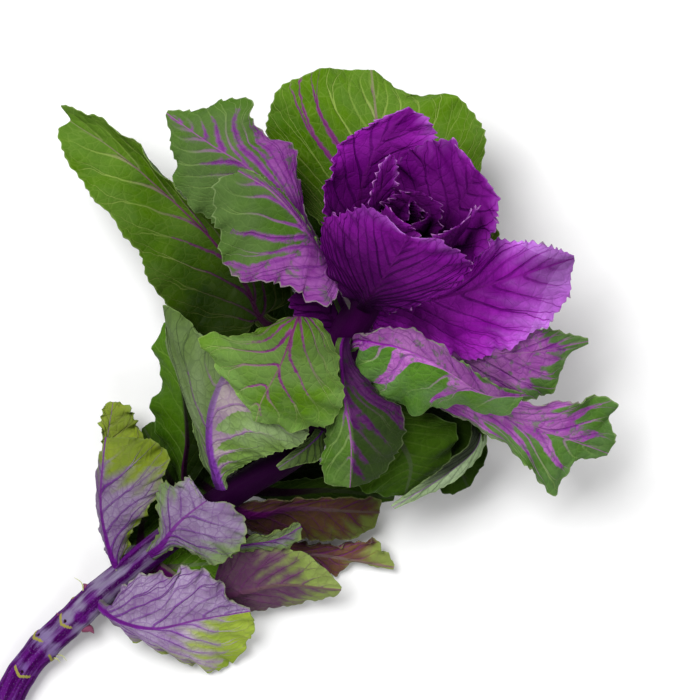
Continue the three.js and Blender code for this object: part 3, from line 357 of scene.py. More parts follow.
leaf("long_left", "green",
    "344 345 55, 305 332 44, 264 322 44, 246 285 42, 213 240 40, 163 191 38, 112 148 38, 70 121 36",
    "240 341 44, 202 337 43, 168 307 40, 153 288 40, 138 254 40, 103 209 40, 78 178 38, 60 144 38, "
    "58 129 37",
    "292 298 45, 275 262 48, 225 222 50, 185 198 50, 165 178 50, 132 141 50, 104 121 47, 80 110 42, "
    "60 105 37.5",
    blade=0.26, petiole=3.2, wave=1.4, waves=7, slant=0.6, ribs=0.5, reach=(0.2, 0.1, -0.2, -0.3),
    tone=(0.04, 0.07, 0.12, 0.45, 0.62, 0.7))
leaf("drape_left", "drape",
    "325 395 46, 316 362 62, 306 332 80, 299 318 90, 293 332 95, 281 364 87, 262 400 72, 256 421 60",
    "320 320 90, 333 342 88, 340 372 82, 343 405 73, 326 425 64, 292 429 60",
    "284 318 90, 248 334 80, 200 337 70, 213 362 68, 232 388 66, 250 410 64",
    blade=0.45, wave=1.2, fan=1, near=0.3, veins=5, slant=0.8, ribs=0.35,
    reach=((0.35, 0.2, -0.1, -0.3), (0.45, 0.3, 0.1, -0.3)), tone=(0.5, 0.54, 1.15), teeth=1.5)
leaf("drape_centre", "pink_green",
    "347 334 58, 342 350 70, 344 392 72, 351 440 65, 350 487 50",
    "354 362 70, 380 392 66, 404 413 61, 405 430 58, 396 455 53, 375 480 49",
    "337 362 68, 335 390 64, 327 430 54, 321 464 50, 326 483 49",
    blade=0.14, wave=1.2, slant=0.8, ribs=0.3, reach=((0.8, 0.1, 0.6, -0.2, 0.3, -0.3, -0.3), -0.3),
    tone=((0.22, 0.3), (0.85, 0.95)), teeth=1.3)
leaf("below_centre", "dark",
    "342 372 48, 370 400 52, 392 430 52, 410 462 45, 405 495 34",
    "410 408 48, 440 418 47, 457 427 43, 452 450 38, 440 474 33",
    "362 440 44, 350 480 36, 365 491 34, 385 496 33",
    blade=0.16, wave=1.2, waves=7, veins=12, reach=-0.3, tone=(0.15, 0.3, 0.5, 0.65))
leaf("cup_right", "dark",
    "342 365 48, 400 405 38, 440 432 32, 462 466 32",
    "430 402 42, 465 407 42, 484 424 42, 483 440 40, 472 456 36",
    "395 430 28, 400 470 26, 425 488 28, 447 477 30",
    blade=0.25, wave=0.8, reach=(0.1, -0.3, -0.3, -0.3), tone=(0.22, 0.15, 0.17, 0.3))
leaf("cup_right_edge", "pale",
    "345 362 44, 400 385 33, 455 400 31, 478 424 37, 476 446 42, 448 472 42, 393 507 34",
    "485 424 34, 484 448 38, 456 480 38, 424 496 36",
    "471 420 39, 468 443 46, 443 466 46, 415 487 39",
    blade=0.45, petiole=2.2, wave=0.4, waves=4, ribs=0.5, reach=-0.5,
    tone=((1.6, 1.6), (0.1, 0.1, 0.1, 0.15, 1.5)))
leaf("cup_right_behind", "dark",
    "340 375 44, 400 420 30, 450 455 22, 468 487 18",
    "450 420 26, 485 438 24, 487 457 22, 477 474 20",
    "405 450 22, 438 489 18, 453 494 17",
    blade=0.25, wave=1.2, reach=0, tone=(0.1, 0.2, 0.35))
leaf("standing_left", "sage",
    "226 496 28, 215 468 38, 210 440 48, 214 402 58, 229 372 61, 260 362 60, 295 385 56",
    "228 476 38, 262 457 48, 303 443 54, 309 430 56, 306 408 56",
    "200 458 37, 190 402 42, 170 348 46, 163 304 48, 185 318 53, 208 340 58, 250 347 59",
    blade=0.1, wave=1, waves=8, phase=2, near=0.3, reach=((0.3, 0.5, 0.7, 0.3, 0), (0.1, 0, -0.2)),
    tone=((1.25, 1.1, 0.95), (0.72, 0.68, 0.6)))
leaf("small_grey", "sage",
    "322 412 44, 322 430 47, 308 446 47, 278 468 45",
    "322 458 46, 300 465 45",
    "310 436 48, 288 455 46",
    blade=0.15, petiole=2, wave=0.8, waves=5, ribs=0.3, reach=-0.3, tone=0.5)
leaf("dark_left", "dark",
    "210 508 25, 186 482 24, 188 440 26, 183 390 28, 172 345 27, 166 322 25",
    "176 472 20, 160 440 18, 152 405 16, 164 372 18, 153 357 18, 158 337 20",
    "202 470 26, 214 430 28, 208 390 30, 188 340 30",
    blade=0.16, wave=1.8, ribs=0.6, reach=-0.3, tone=((0.25, 0.75, 1.2), (0.05, 0.08, 0.12, 0.2)))
leaf("dark_left_behind", "dark",
    "195 519 22, 172 484 12, 156 450 9, 144 427 7",
    "158 478 7, 145 452 5, 142 436 5",
    "184 455 10, 168 430 9, 153 421 8",
    wave=1.4, waves=5, reach=-0.3, tone=(0.1, 0.5))
leaf("lower_left_tall", "lower",
    "120 577 15, 110 548 21, 102 505 26, 104 462 30, 107 437 30",
    "120 566 16, 134 528 22, 152 505 28, 168 470 31, 160 443 32, 135 438 32",
    "106 540 9, 102 500 9, 103 465 13",
    blade=0.08, petiole=2.5, wave=1.6,
    reach=((0.75, 0.95, 1.05, 0.7, 0.1, -0.3, -0.3), (1.4, 1.4, 1.3, 0.9, 0.2, -0.2)),
    tone=(0.65, 0.62, 0.66), frills=1.6)
leaf("lower_left_tip", "lower",
    "124 572 12, 108 500 16, 106 450 18, 113 402 18",
    "104 450 20, 100 420 20, 103 405 19",
    "130 462 14, 142 434 14, 139 418 15, 123 402 17",
    blade=0.5, petiole=2, wave=1.6, ribs=0.2, reach=-0.3, tone=(1.1, 0.8, 0.8), teeth=6, frills=4)
leaf("lower_shield", "lilac",
    "148 556 20, 161 546 28, 180 522 35, 206 501 39",
    "178 547 30, 197 554 32, 217 565 34, 235 554 38, 247 533 40, 231 504 39",
    "159 530 29, 157 508 29, 158 483 30, 176 484 33, 189 476 37, 195 492 40",
    blade=0.1, petiole=2.8, wave=1, waves=8, near=1, veins=8,
    reach=((0.55, 0.75, 1.1, 1.3, 1.4), (0.5, 0.6, 1, 1.3, 1.4)), tone=0.66, teeth=2, frills=1.5)
leaf("lower_front", "lower",
    "96 598 13, 106 610 18, 124 621 23, 155 627 27, 200 618 27, 250 610 24",
    "108 618 14, 130 634 12, 165 650 8, 190 663 4, 215 670 2, 240 655 5, 254 625 14",
    "114 604 20, 122 588 24, 147 572 29, 170 575 31, 185 566 32, 208 572 31, 223 584 30, 228 598 28",
    blade=0.12, petiole=2.8, wave=1.6, waves=8, near=0.3, slant=0.8, ribs=0.5,
    reach=((0.85, 0.85, 0.6, 0.3, 0.1, 0), (1.5, 1.5, 1.4, 1.15, 0.4)), tone=((1.05, 1.75), (0.8, 0.9)),
    frills=1.3)
leaf("lower_ruffled", "ruffled",
    "150 560 15, 185 584 15, 224 594 17, 280 584 21, 341 589 17",
    "240 611 9, 285 606 7, 320 599 8, 337 595 13",
    "222 560 24, 245 542 28, 270 546 30, 300 551 29, 322 566 25, 336 580 20",
    blade=0.35, petiole=2.8, wave=0.4, slant=0.6, reach=((1.3, 1, 0.7, 0.3, 0.1), (1.3, 1, 0.6, 0.1, -0.1)),
    tone=(0.5, 0.75, 1.05), teeth=0.5, frills=0.6)
leaf("lower_curl", "lilac",
    "190 534 22, 220 545 26, 250 543 30.5, 278 538 32.5, 301 526 33.5",
    "225 556 27, 250 551 28.5, 278 549 31, 297 544 32",
    "232 538 31, 260 535 34, 285 529 35, 297 521 35",
    blade=0.3, petiole=2, wave=2.4, waves=5,
    reach=((0.3, 0.4, 0.6, 0.4, -0.2), (-0.2, -0.2, -0.2, -0.2, -0.3)), tone=0.5, teeth=2.4, frills=3)
leaf("brown_right", "brown",
    "222 502 27, 252 514 24, 290 507 23, 340 510 18, 379 512 12",
    "245 528 20, 300 539 15, 350 539 12, 374 527 11",
    "250 501 28, 297 499 25, 350 497 19, 381 500 14",
    blade=0.1, petiole=2.8, wave=1, reach=((1.4, 1.2, 0.9, 0.6, 0.1), (1.5, 1.4, 1.1, 0.9, 0.3)),
    tone=(0.3, 0.36, 0.42))
leaf("dark_below", "dark",
    "240 488 30, 280 492 20, 330 490 15, 394 498 9",
    "290 480 19, 340 478 14, 375 486 11",
    "280 503 15, 330 502 11, 375 503 8",
    blade=0.15, petiole=2.8, wave=1, waves=5, tone=(0.1, 0.3, 0.4))
leaf("curly_right", "brown",
    "206 512 21, 262 546 7, 330 556 6, 394 567 5",
    "312 543 8, 345 543 9, 372 539 11, 387 552 8",
    "318 564 3.5, 337 577 2.5, 352 561 4, 378 567 4",
    blade=0.3, petiole=2.2, wave=1, reach=(1.6, 1.6, 1.3, 0.2, -0.2), tone=(0.5, 0.6, 1.4), teeth=3,
    frills=4)
leaf("small_curl", "green",
    "372 280 66, 430 262 62, 470 245 66, 497 230 70",
    "460 243 68, 492 222 72",
    "478 252 66, 500 235 68",
    blade=0.5, petiole=2, wave=1, waves=4, reach=-0.3, tone=0.6)
leaf("under_back", "dark",
    "352 330 56, 362 280 28, 370 200 7, 376 120 -2",
    "335 280 22, 300 205 6, 306 140 -1",
    "400 280 22, 430 195 6, 425 125 -1",
    petiole=3.2, wave=1.2, waves=5, tone=0.4)
leaf("under_right", "dark",
    "345 345 54, 400 362 28, 470 366 9, 545 372 -2",
    "420 338 26, 490 338 9, 535 350 -1",
    "420 390 20, 480 400 6, 530 390 -1",
    petiole=3.2, wave=1.2, waves=5, tone=0.4)
leaf("under_left", "dark",
    "335 385 48, 290 345 24, 225 275 8, 160 215 -2",
    "265 345 16, 205 310 5, 150 250 -1",
    "300 300 22, 240 235 7, 180 195 -1",
    petiole=3.2, wave=1.2, waves=5, tone=0.3)
leaf("under_front", "dark",
    "330 400 46, 358 430 18, 375 465 4, 386 488 -2",
    "392 430 14, 422 455 4, 418 482 -1",
    "345 448 10, 348 475 3, 362 490 -1",
    blade=0.25, petiole=3.2, wave=1, waves=5, tone=0.3)
leaf("lower_behind", "dark",
    "120 578 13, 160 568 10, 200 564 9, 226 562 9",
    "155 550 12, 190 546 11, 222 552 10",
    "150 584 8, 188 588 7, 222 574 7",
    blade=0.25, petiole=2.2, wave=1.2, waves=5, tone=2.6, frills=2)
leaf("lower_behind_left", "dark",
    "140 558 15, 142 525 9, 150 484 7",
    "121 545 10, 124 515 7, 136 488 5",
    "158 536 12, 164 508 9, 159 490 7",
    petiole=2.2, wave=1, waves=5, tone=0.4)
leaf("under_low_left", "dark",
    "222 500 24, 196 478 11, 168 448 5",
    "186 496 13, 162 476 8, 152 456 4",
    "228 470 14, 206 445 7, 184 434 4",
    blade=0.25, petiole=2.4, wave=1, waves=4, tone=0.2)
leaf("under_low_right", "dark",
    "228 498 26, 262 478 12, 322 468 6",
    "240 462 13, 275 448 8, 312 450 5",
    "270 500 12, 305 494 7, 326 484 5",
    blade=0.25, petiole=2.4, wave=1, waves=4, tone=0.15)
leaf("purple_under", "rosette",
    "352 346 50, 338 326 54, 318 303 56, 300 288 56",
    "322 342 52, 300 322 54, 289 300 56",
    "352 315 56, 342 292 58, 318 280 58",
    petiole=2.6, wave=1, waves=5, reach=1.5, tone=0.8)


# ---- places and lines ----
def from_plan(points):
    """Points given as across, down and height become millimetres on the table."""
    across, down, height = np.array(points, float).T
    size = SQUARE * (EYE_HEIGHT - height) / (EYE_HEIGHT - LEVEL)
    return np.stack([(across - PLAN_MIDDLE) * size, (PLAN_MIDDLE - down) * size, height], 1)


HEAD_AXIS = np.array([
    math.cos(HEAD_RISE) * math.cos(HEAD_BEARING),
    math.cos(HEAD_RISE) * math.sin(HEAD_BEARING),
    math.sin(HEAD_RISE),
])
HEAD_RIGHT = np.array([math.sin(HEAD_BEARING), -math.cos(HEAD_BEARING), 0])
HEAD_UP = np.cross(HEAD_AXIS, HEAD_RIGHT)


def from_head(points):
    """Points given as turn, radius and place along the head's axis become millimetres on the table."""
    turn, radius, along = np.array(points, float).T[:, :, None]
    angle = np.radians(turn)
    out = np.cos(angle) * HEAD_RIGHT + np.sin(angle) * HEAD_UP
    return from_plan([HEAD])[0] + radius * out + along * HEAD_AXIS


def to_frame(points):
    """Millimetres of the unturned plan become metres of the frame."""
    cos, sin = math.cos(HEADING), math.sin(HEADING)
    x, y, z = np.moveaxis(np.asarray(points, float), -1, 0)
    return np.stack([x * cos + y * sin - ORIGIN[0], y * cos - x * sin - ORIGIN[1], z], -1) * MM


def unit(vectors):
    return vectors / np.maximum(np.linalg.norm(vectors, axis=-1, keepdims=True), 1e-9)


def dot(a, b):
    return (a * b).sum(-1, keepdims=True)


def square_to(way, along):
    """The part of a way that stands square to another, as a unit."""
    return unit(way - dot(way, along) * along)


class Line:
    """A centripetal Catmull-Rom curve through points, measured along its length."""

    def __init__(self, points):
        points = np.asarray(points, float)
        first, last = 2 * points[0] - points[1], 2 * points[-1] - points[-2]
        self.points = np.vstack([first, points, last])
        self.parts = np.linspace(0, 1, LINE_PARTS + 1)
        steps = np.linalg.norm(np.diff(self.point(self.parts), axis=0), axis=1)
        self.lengths = np.concatenate([[0], np.cumsum(steps)])
        self.length = self.lengths[-1]

    def point(self, part):
        count = len(self.points) - 2
        scaled = np.clip(part, 0, 1) * (count - 1)
        i = np.minimum(scaled.astype(int), count - 2)
        t = (scaled - i)[:, None]
        a, b, c, d = (self.points[i + k] for k in range(4))
        ab, bc, cd = (np.sqrt(np.linalg.norm(q - p, axis=1))[:, None] for p, q in ((a, b), (b, c), (c, d)))
        start = ((b - a) / ab - (c - a) / (ab + bc) + (c - b) / bc) * bc
        end = ((c - b) / bc - (d - b) / (bc + cd) + (d - c) / cd) * bc
        square = 3 * (c - b) - 2 * start - end
        cube = 2 * (b - c) + start + end
        return b + t * (start + t * (square + t * cube))

    def at(self, share):
        """Points at shares of the line's length."""
        share = np.clip(np.atleast_1d(share), 0, 1)
        return self.point(np.interp(share * self.length, self.lengths, self.parts))

    def way(self, share):
        share = np.atleast_1d(share)
        return unit(self.at(share + WAY_STEP) - self.at(share - WAY_STEP))


def smoothed(rows):
    """A list of rows with its inner entries smoothed a few times."""
    rows = np.array(rows, float)
    for _ in range(SMOOTHING):
        rows[1:-1] = (rows[:-2] + 2 * rows[1:-1] + rows[2:]) / 4
    return rows


# ---- leaf surface ----
def wave_fade(up):
    """How much of its waves and frills a leaf has at shares of its blade's length."""
    return np.minimum(1, up * WAVE_START) * np.minimum(1, (1 - up) * WAVE_END + TIP_WAVE)


class Blade:
    """A leaf's middle surface: rows run from the petiole's foot (0) to the tip (1), columns from -1 to 1."""

    def __init__(self, leaf):
        place = from_head if leaf["polar"] else from_plan
        rib, left, right = (place(leaf[side]) for side in ("rib", "left", "right"))
        self.leaf = leaf
        self.rib = Line(rib)
        self.foot = leaf["blade"]
        self.foot_side = square_to(unit(right[0] - left[0]), self.rib.way(self.foot)[0])
        tip_side = square_to(unit(right[-1] - left[-1]), self.rib.way(1 - WAY_STEP)[0])
        foot = self.rib.at(self.foot)[0]
        self.margins = {
            sign: Line(np.vstack([
                foot + sign * leaf["petiole"] * self.foot_side,
                margin,
                rib[-1] + sign * TIP_WIDTH * tip_side,
            ]))
            for sign, margin in ((-1, left), (1, right))
        }
        self.up = np.linspace(0, 1, STATIONS + 1)
        self.places = self.places_on_rib()
        ways = unit(self.margins[1].at(self.up) - self.margins[-1].at(self.up))
        ways[0] = self.foot_side
        ways[-1] = ways[-2]
        self.sides = square_to(smoothed(ways), self.rib.way(self.places))

    def places_on_rib(self):
        """Where on the rib the stations start: between an even fan and the places nearest the margins."""
        tries = np.linspace(self.foot, 1, RIB_TRIES)
        on_rib = self.rib.at(tries)
        nearest = np.zeros(STATIONS + 1)
        for margin in self.margins.values():
            away = np.linalg.norm(margin.at(self.up)[:, None] - on_rib[None], axis=2)
            nearest += tries[away.argmin(1)] / 2
        nearest[0], nearest[-1] = self.foot, 1
        nearest = np.maximum.accumulate(smoothed(nearest))
        even = self.foot + (1 - self.foot) * self.up ** self.leaf["fan"]
        near = self.leaf["near"]
        return (1 - near) * even + near * nearest

    def surface(self, rows, columns):
        """Points and what the looks need, for a grid of rows and columns."""
        leaf = self.leaf
        up = np.clip((rows - PETIOLE_PART) / (1 - PETIOLE_PART), 0, 1)
        petiole = rows < PETIOLE_PART
        place = np.where(petiole, self.foot * rows / PETIOLE_PART, np.interp(up, self.up, self.places))
        centre, way = self.rib.at(place), self.rib.way(place)
        petiole_side = square_to(np.broadcast_to(self.foot_side, way.shape), way)
        side = unit(np.stack([np.interp(up, self.up, self.sides[:, k]) for k in range(3)], 1))
        side = np.where(petiole[:, None], petiole_side, side)
        upper = unit(np.cross(side, way))
        points = np.zeros((len(rows), len(columns), 3))
        width = np.zeros((len(rows), len(columns)))
        fade = wave_fade(up)
        for j, column in enumerate(columns):
            left = column < 0
            sign, out = (-1 if left else 1), abs(column)
            margin = self.margins[sign].at(up) - centre
            chord = np.where(petiole[:, None], sign * leaf["petiole"] * petiole_side, margin)
            reach = np.linalg.norm(chord, axis=1)
            belly = leaf["belly"][0 if left else 1]
            swell = belly * 4 * out * (1 - out) * np.sin(np.pi * up) ** BELLY_SHAPE
            phase = leaf["phase"] + (LEFT_PHASE if left else 0)
            swing = np.sin(2 * np.pi * leaf["waves"] * up + phase)
            wave = leaf["wave"] * out ** WAVE_REACH * swing * fade * np.minimum(1, reach / WIDE)
            rounding = dot(chord, side) + sign * ROUNDING * abs(dot(chord, upper))
            points[:, j] = (
                centre
                + chord * (CREASE * out + (1 - CREASE) * out * out)
                + side * (1 - CREASE) * rounding * out * (1 - out)
                + upper * (swell + wave)[:, None]
            )
            width[:, j] = reach
        return points, up, place, width


def spacing(points, field, rows, columns):
    """How many millimetres of surface it takes for a field to change by one."""
    along, f_along = (np.gradient(values, rows, axis=0) for values in (points, field))
    across, f_across = (np.gradient(values, columns, axis=1) for values in (points, field))
    e, f, g = (along ** 2).sum(-1), (along * across).sum(-1), (across ** 2).sum(-1)
    area = np.maximum(e * g - f * f, 1e-6)
    steep = (g * f_along ** 2 - 2 * f * f_along * f_across + e * f_across ** 2) / area
    return 1 / np.sqrt(np.maximum(steep, 1e-6))


def normals_of(points):
    return unit(np.cross(np.gradient(points, axis=1), np.gradient(points, axis=0)))


def ripple(x, seed):
    """A slow uneven wave between -1 and 1: three waves of no common length, shifted by a seed."""
    return (np.sin(x + seed) + 0.6 * np.sin(1.7 * x + 2.3 * seed) + 0.4 * np.sin(2.9 * x + 4.1 * seed)) / 2


def teeth(along, step, seed):
    """Uneven pointed teeth along a margin: 1 at a point, 0 in a notch."""
    phase = along / step + TOOTH_UNEVEN * ripple(along / step * 0.9, seed)
    saw = 1 - 2 * abs(phase - np.floor(phase) - 0.5)
    return saw ** TOOTH_SHARP * (1 - TOOTH_UNEVEN + TOOTH_UNEVEN * ripple(along / step * 0.53, seed + 1))


def halves(entry, place, sign):
    """A number that a leaf gives once, or from foot to tip, or so for each half, at each point."""
    paired = isinstance(entry, tuple) and isinstance(entry[0], tuple)
    both = entry if paired else (entry, entry)
    left, right = (np.interp(place, np.linspace(0, 1, np.size(half)), np.atleast_1d(half)) for half in both)
    return np.where(sign < 0, left, right)


def leaf_surface(leaf, seed):
    """The fine middle surface of a leaf, its half thicknesses and what its looks need at each point."""
    look = LOOKS[leaf["look"]]
    blade = Blade(leaf)
    edge = max(margin.length for margin in blade.margins.values())
    petiole_rows = max(PETIOLE_ROWS, round(blade.rib.length * blade.foot / PETIOLE_STEP))
    rows = np.concatenate([
        np.linspace(0, PETIOLE_PART, petiole_rows, endpoint=False),
        np.linspace(PETIOLE_PART, 1, int(np.clip(edge / look["row_step"], *ROWS)) + 1),
    ])
    widest = blade.surface(rows[::6], np.array([-1.0, 1.0]))[3].max()
    count = int(np.clip(widest / COLUMN_STEP, *COLUMNS))
    half = np.linspace(0, 1, count + 1) ** COLUMN_SPREAD
    columns = np.concatenate([-half[:0:-1], half])
    points, up, place, width = blade.surface(rows, columns)
    out = np.abs(columns)[None, :]
    sign = np.sign(columns)[None, :]
    up = up[:, None]
    place = place[:, None]

    # Side veins, the blade's swelling between them, its frills and its slow bumps.
    lead = VEIN_LEAD * np.clip(columns / VEIN_BEND, -1, 1)
    phase = leaf["veins"] * (up - leaf["slant"] * out * (1 - SLANT_FADE * up)) + lead
    step = spacing(points, phase, rows, columns)
    normal = normals_of(points)
    fade = wave_fade(up)
    away = np.where(sign < 0, 1, 2) + seed
    margin_at = up * edge
    frill = ripple(margin_at / look["frill_step"] * 2 * np.pi, away) * out ** FRILL_REACH * fade
    frill = frill * look["frill"] * leaf["frills"] * np.minimum(1, width / WIDE)
    between = np.abs(phase - np.round(phase)) * 2
    swell = look["quilt"] * np.minimum(1, step / QUILT_STEP) * (between ** 0.7 - 0.5)
    swell = swell * (1 - out ** 4) * np.minimum(1, out * 5)
    bumps = UNEVEN * ripple(up * BUMP_RATES[0] + sign * out * BUMP_RATES[1], seed) * out * fade
    points = points + normal * (frill + swell + bumps)[:, :, None]

    # Teeth.
    tooth = teeth(margin_at, look["tooth_step"], away)
    tooth = tooth * np.minimum(1, up * TOOTH_START) * np.minimum(1, (1 - up) * TOOTH_END)
    root = np.clip((out - 1 + TOOTH_ROOT) / TOOTH_ROOT, 0, 1)
    reach = look["tooth"] * leaf["teeth"] * (tooth - TOOTH_LEVEL) * root
    outward = unit(points - points[:, count][:, None])
    points = points + outward * (reach * np.minimum(1, width / TOOTH_WIDE))[:, :, None]

    # Thickness: a thin blade with the rib standing out of it, most of it below.
    rib_width = leaf["petiole"] * (1 - place) + RIB_EDGE
    from_rib = out * width
    thickest = FREE_RIB / 2 + (leaf["petiole"] * RIB_SHAPE - FREE_RIB / 2) * (1 - place)
    dome = np.sqrt(np.maximum(0, 1 - (from_rib / rib_width) ** 2))
    thin = BLADE / 2 + (RIM - BLADE) / 2 * out ** THINNING
    above, below = (thin + np.maximum(0, thickest * share - thin) * dome for share in (RIB_ABOVE, RIB_BELOW))

    whole = np.ones_like(out * up)
    band = (leaf["petiole"] * (1 - place) ** RIB_TAPER + RIB_EDGE) * leaf.get("ribs", look["ribs"])
    place = place * whole
    zone = halves(leaf["reach"], phase / leaf["veins"], sign) - out
    # Tone: the leaf's own lightness together with painted light and shade, made deeper towards the rib by the
    # look's deep.
    tone = halves(leaf["tone"], place, sign) * (look["deep"] + (1 - look["deep"]) * out ** DEEP_REACH)
    looks = {
        "vein": (phase, np.minimum(step, STEP_LIMIT), out * whole),
        "flat": (from_rib * sign, blade.rib.length * place, whole),
        "zone": (zone, place, (1 - out) * width + look["notch"] * (1 - tooth)),
        "rib": (from_rib / band, tone, whole * seed),
    }
    return points, above, below, looks


def closed_sheet(points, above, below, looks):
    """A closed sheet on both sides of a grid, lying flat on the table where it would dip below."""
    normal = normals_of(points)
    top = points + normal * above[:, :, None]
    bottom = points - normal * below[:, :, None]
    lift = np.maximum(0, TABLE_GAP - np.minimum(top[..., 2], bottom[..., 2]))
    top[..., 2] += lift
    bottom[..., 2] += lift
    tall, wide = points.shape[:2]
    count = tall * wide
    index = np.arange(count).reshape(tall, wide)
    face = np.stack([index[:-1, :-1], index[:-1, 1:], index[1:, 1:], index[1:, :-1]], -1).reshape(-1, 4)
    ring = np.concatenate([index[0, :-1], index[:-1, -1], index[-1, :0:-1], index[:0:-1, 0]])
    after = np.roll(ring, -1)
    rim = np.stack([after, ring, ring + count, after + count], -1)
    faces = np.vstack([face, face[:, ::-1] + count, rim])
    vertices = np.vstack([top.reshape(-1, 3), bottom.reshape(-1, 3)])
    fields = {}
    for name, parts in looks.items():
        field = np.stack([np.broadcast_to(part, (tall, wide)).ravel() for part in parts], 1)
        under = field.copy()
        if name == "flat":
            under[:, 2] = -1
        fields[name] = np.vstack([field, under])
    on_rim = np.zeros(2 * count, int)
    on_rim[ring], on_rim[ring + count] = 1, 2
    return vertices, faces, fields, on_rim


def joined(parts):
    """Several sheets as one."""
    vertices, faces, fields, rims = zip(*parts)
    starts = np.cumsum([0] + [len(points) for points in vertices])
    shifted = [face + start for face, start in zip(faces, starts)]
    together = {name: np.vstack([field[name] for field in fields]) for name in fields[0]}
    return np.vstack(vertices), np.vstack(shifted), together, np.concatenate(rims)


def put_down(name, data):
    """A new object in the scene."""
    thing = bpy.data.objects.new(name, data)
    bpy.context.scene.collection.objects.link(thing)
    return thing


def piece(name, parts, material):
    """A smooth mesh piece from quads, with its fields as vector attributes and its rims sharp."""
    vertices, faces, fields, on_rim = parts
    mesh = bpy.data.meshes.new(name)
    mesh.vertices.add(len(vertices))
    mesh.vertices.foreach_set("co", to_frame(vertices).astype(np.float32).ravel())
    mesh.loops.add(faces.size)
    mesh.loops.foreach_set("vertex_index", faces.astype(np.int32).ravel())
    mesh.polygons.add(len(faces))
    mesh.polygons.foreach_set("loop_start", np.arange(0, faces.size, 4, dtype=np.int32))
    mesh.polygons.foreach_set("use_smooth", np.ones(len(faces), bool))
    mesh.update(calc_edges=True)
    ends = np.zeros(len(mesh.edges) * 2, np.int32)
    mesh.edges.foreach_get("vertices", ends)
    a, b = on_rim[ends.reshape(-1, 2)].T
    mesh.edges.foreach_set("use_edge_sharp", (a > 0) & (a == b))
    for field, values in fields.items():
        attribute = mesh.attributes.new(field, "FLOAT_VECTOR", "POINT")
        attribute.data.foreach_set("vector", values.astype(np.float32).ravel())
    mesh.materials.append(material)
    thing = put_down(name, mesh)
    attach(thing, "root")
    return thing


# ---- materials ----
def colour(red, green, blue):
    """A colour as it is seen, 0 to 255, as the renderer takes it."""
    seen = (value / 255 for value in (red, green, blue))
    return tuple(v / 12.92 if v <= 0.04045 else ((v + 0.055) / 1.055) ** 2.4 for v in seen) + (1,)


class Graph:
    """A short way to write a material's nodes."""

    def __init__(self, name):
        self.material = bpy.data.materials.new(name)
        self.material.use_nodes = True
        self.nodes = self.material.node_tree.nodes
        self.links = self.material.node_tree.links
        self.shader = self.nodes["Principled BSDF"]

    def put(self, socket, value):
        if isinstance(value, bpy.types.NodeSocket):
            self.links.new(value, socket)
        else:
            socket.default_value = value

    def node(self, kind, inputs=(), **settings):
        node = self.nodes.new("ShaderNode" + kind)
        for key, value in settings.items():
            setattr(node, key, value)
        for key, value in dict(inputs).items():
            self.put(node.inputs[key], value)
        return node

    def field(self, name):
        """The three parts of a vector attribute."""
        attribute = self.node("Attribute", attribute_name=name)
        return tuple(self.node("SeparateXYZ", {0: attribute.outputs["Vector"]}).outputs)

    def math(self, operation, *values):
        return self.node("Math", dict(enumerate(values)), operation=operation).outputs[0]

    def add(self, a, b):
        return self.math("ADD", a, b)

    def times(self, a, b):
        return self.math("MULTIPLY", a, b)

    def less(self, a, b):
        return self.math("SUBTRACT", a, b)

    def step(self, value, low, high, start=0.0, end=1.0):
        """A smooth change from start to end as value goes from low to high."""
        inputs = {0: value, 1: low, 2: high, 3: start, 4: end}
        return self.node("MapRange", inputs, interpolation_type="SMOOTHSTEP").outputs[0]

    def mix(self, share, a, b):
        return self.node("Mix", {0: share, 6: a, 7: b}, data_type="RGBA").outputs[2]

    def shaded(self, value, tint):
        """A colour made lighter or darker."""
        return self.node("HueSaturation", {"Value": value, "Color": tint}).outputs[0]

    def vector(self, x, y, z=0.0):
        return self.node("CombineXYZ", {0: x, 1: y, 2: z}).outputs[0]

    def noise(self, place, scale, detail=2.0, roughness=0.5):
        inputs = {"Vector": place, "Scale": scale, "Detail": detail, "Roughness": roughness}
        return self.node("TexNoise", inputs).outputs["Fac"]

    def net(self, place, scale):
        """Distance to the nearest wall of a net of cells, a cell being about 1."""
        inputs = {"Vector": place, "Scale": scale}
        return self.node("TexVoronoi", inputs, feature="DISTANCE_TO_EDGE").outputs["Distance"]

    def finish(self, tint, roughness, height, strength, depth):
        """The shader's colour, its faint shine, its roughness and a relief of a depth in mm."""
        bump = self.node("Bump", {"Height": height, "Strength": strength, "Distance": depth * MM})
        self.put(self.shader.inputs["Base Color"], tint)
        self.shader.inputs["Specular IOR Level"].default_value = SPECULAR
        self.put(self.shader.inputs["Roughness"], roughness)
        self.put(self.shader.inputs["Normal"], bump.outputs[0])
        return self.material


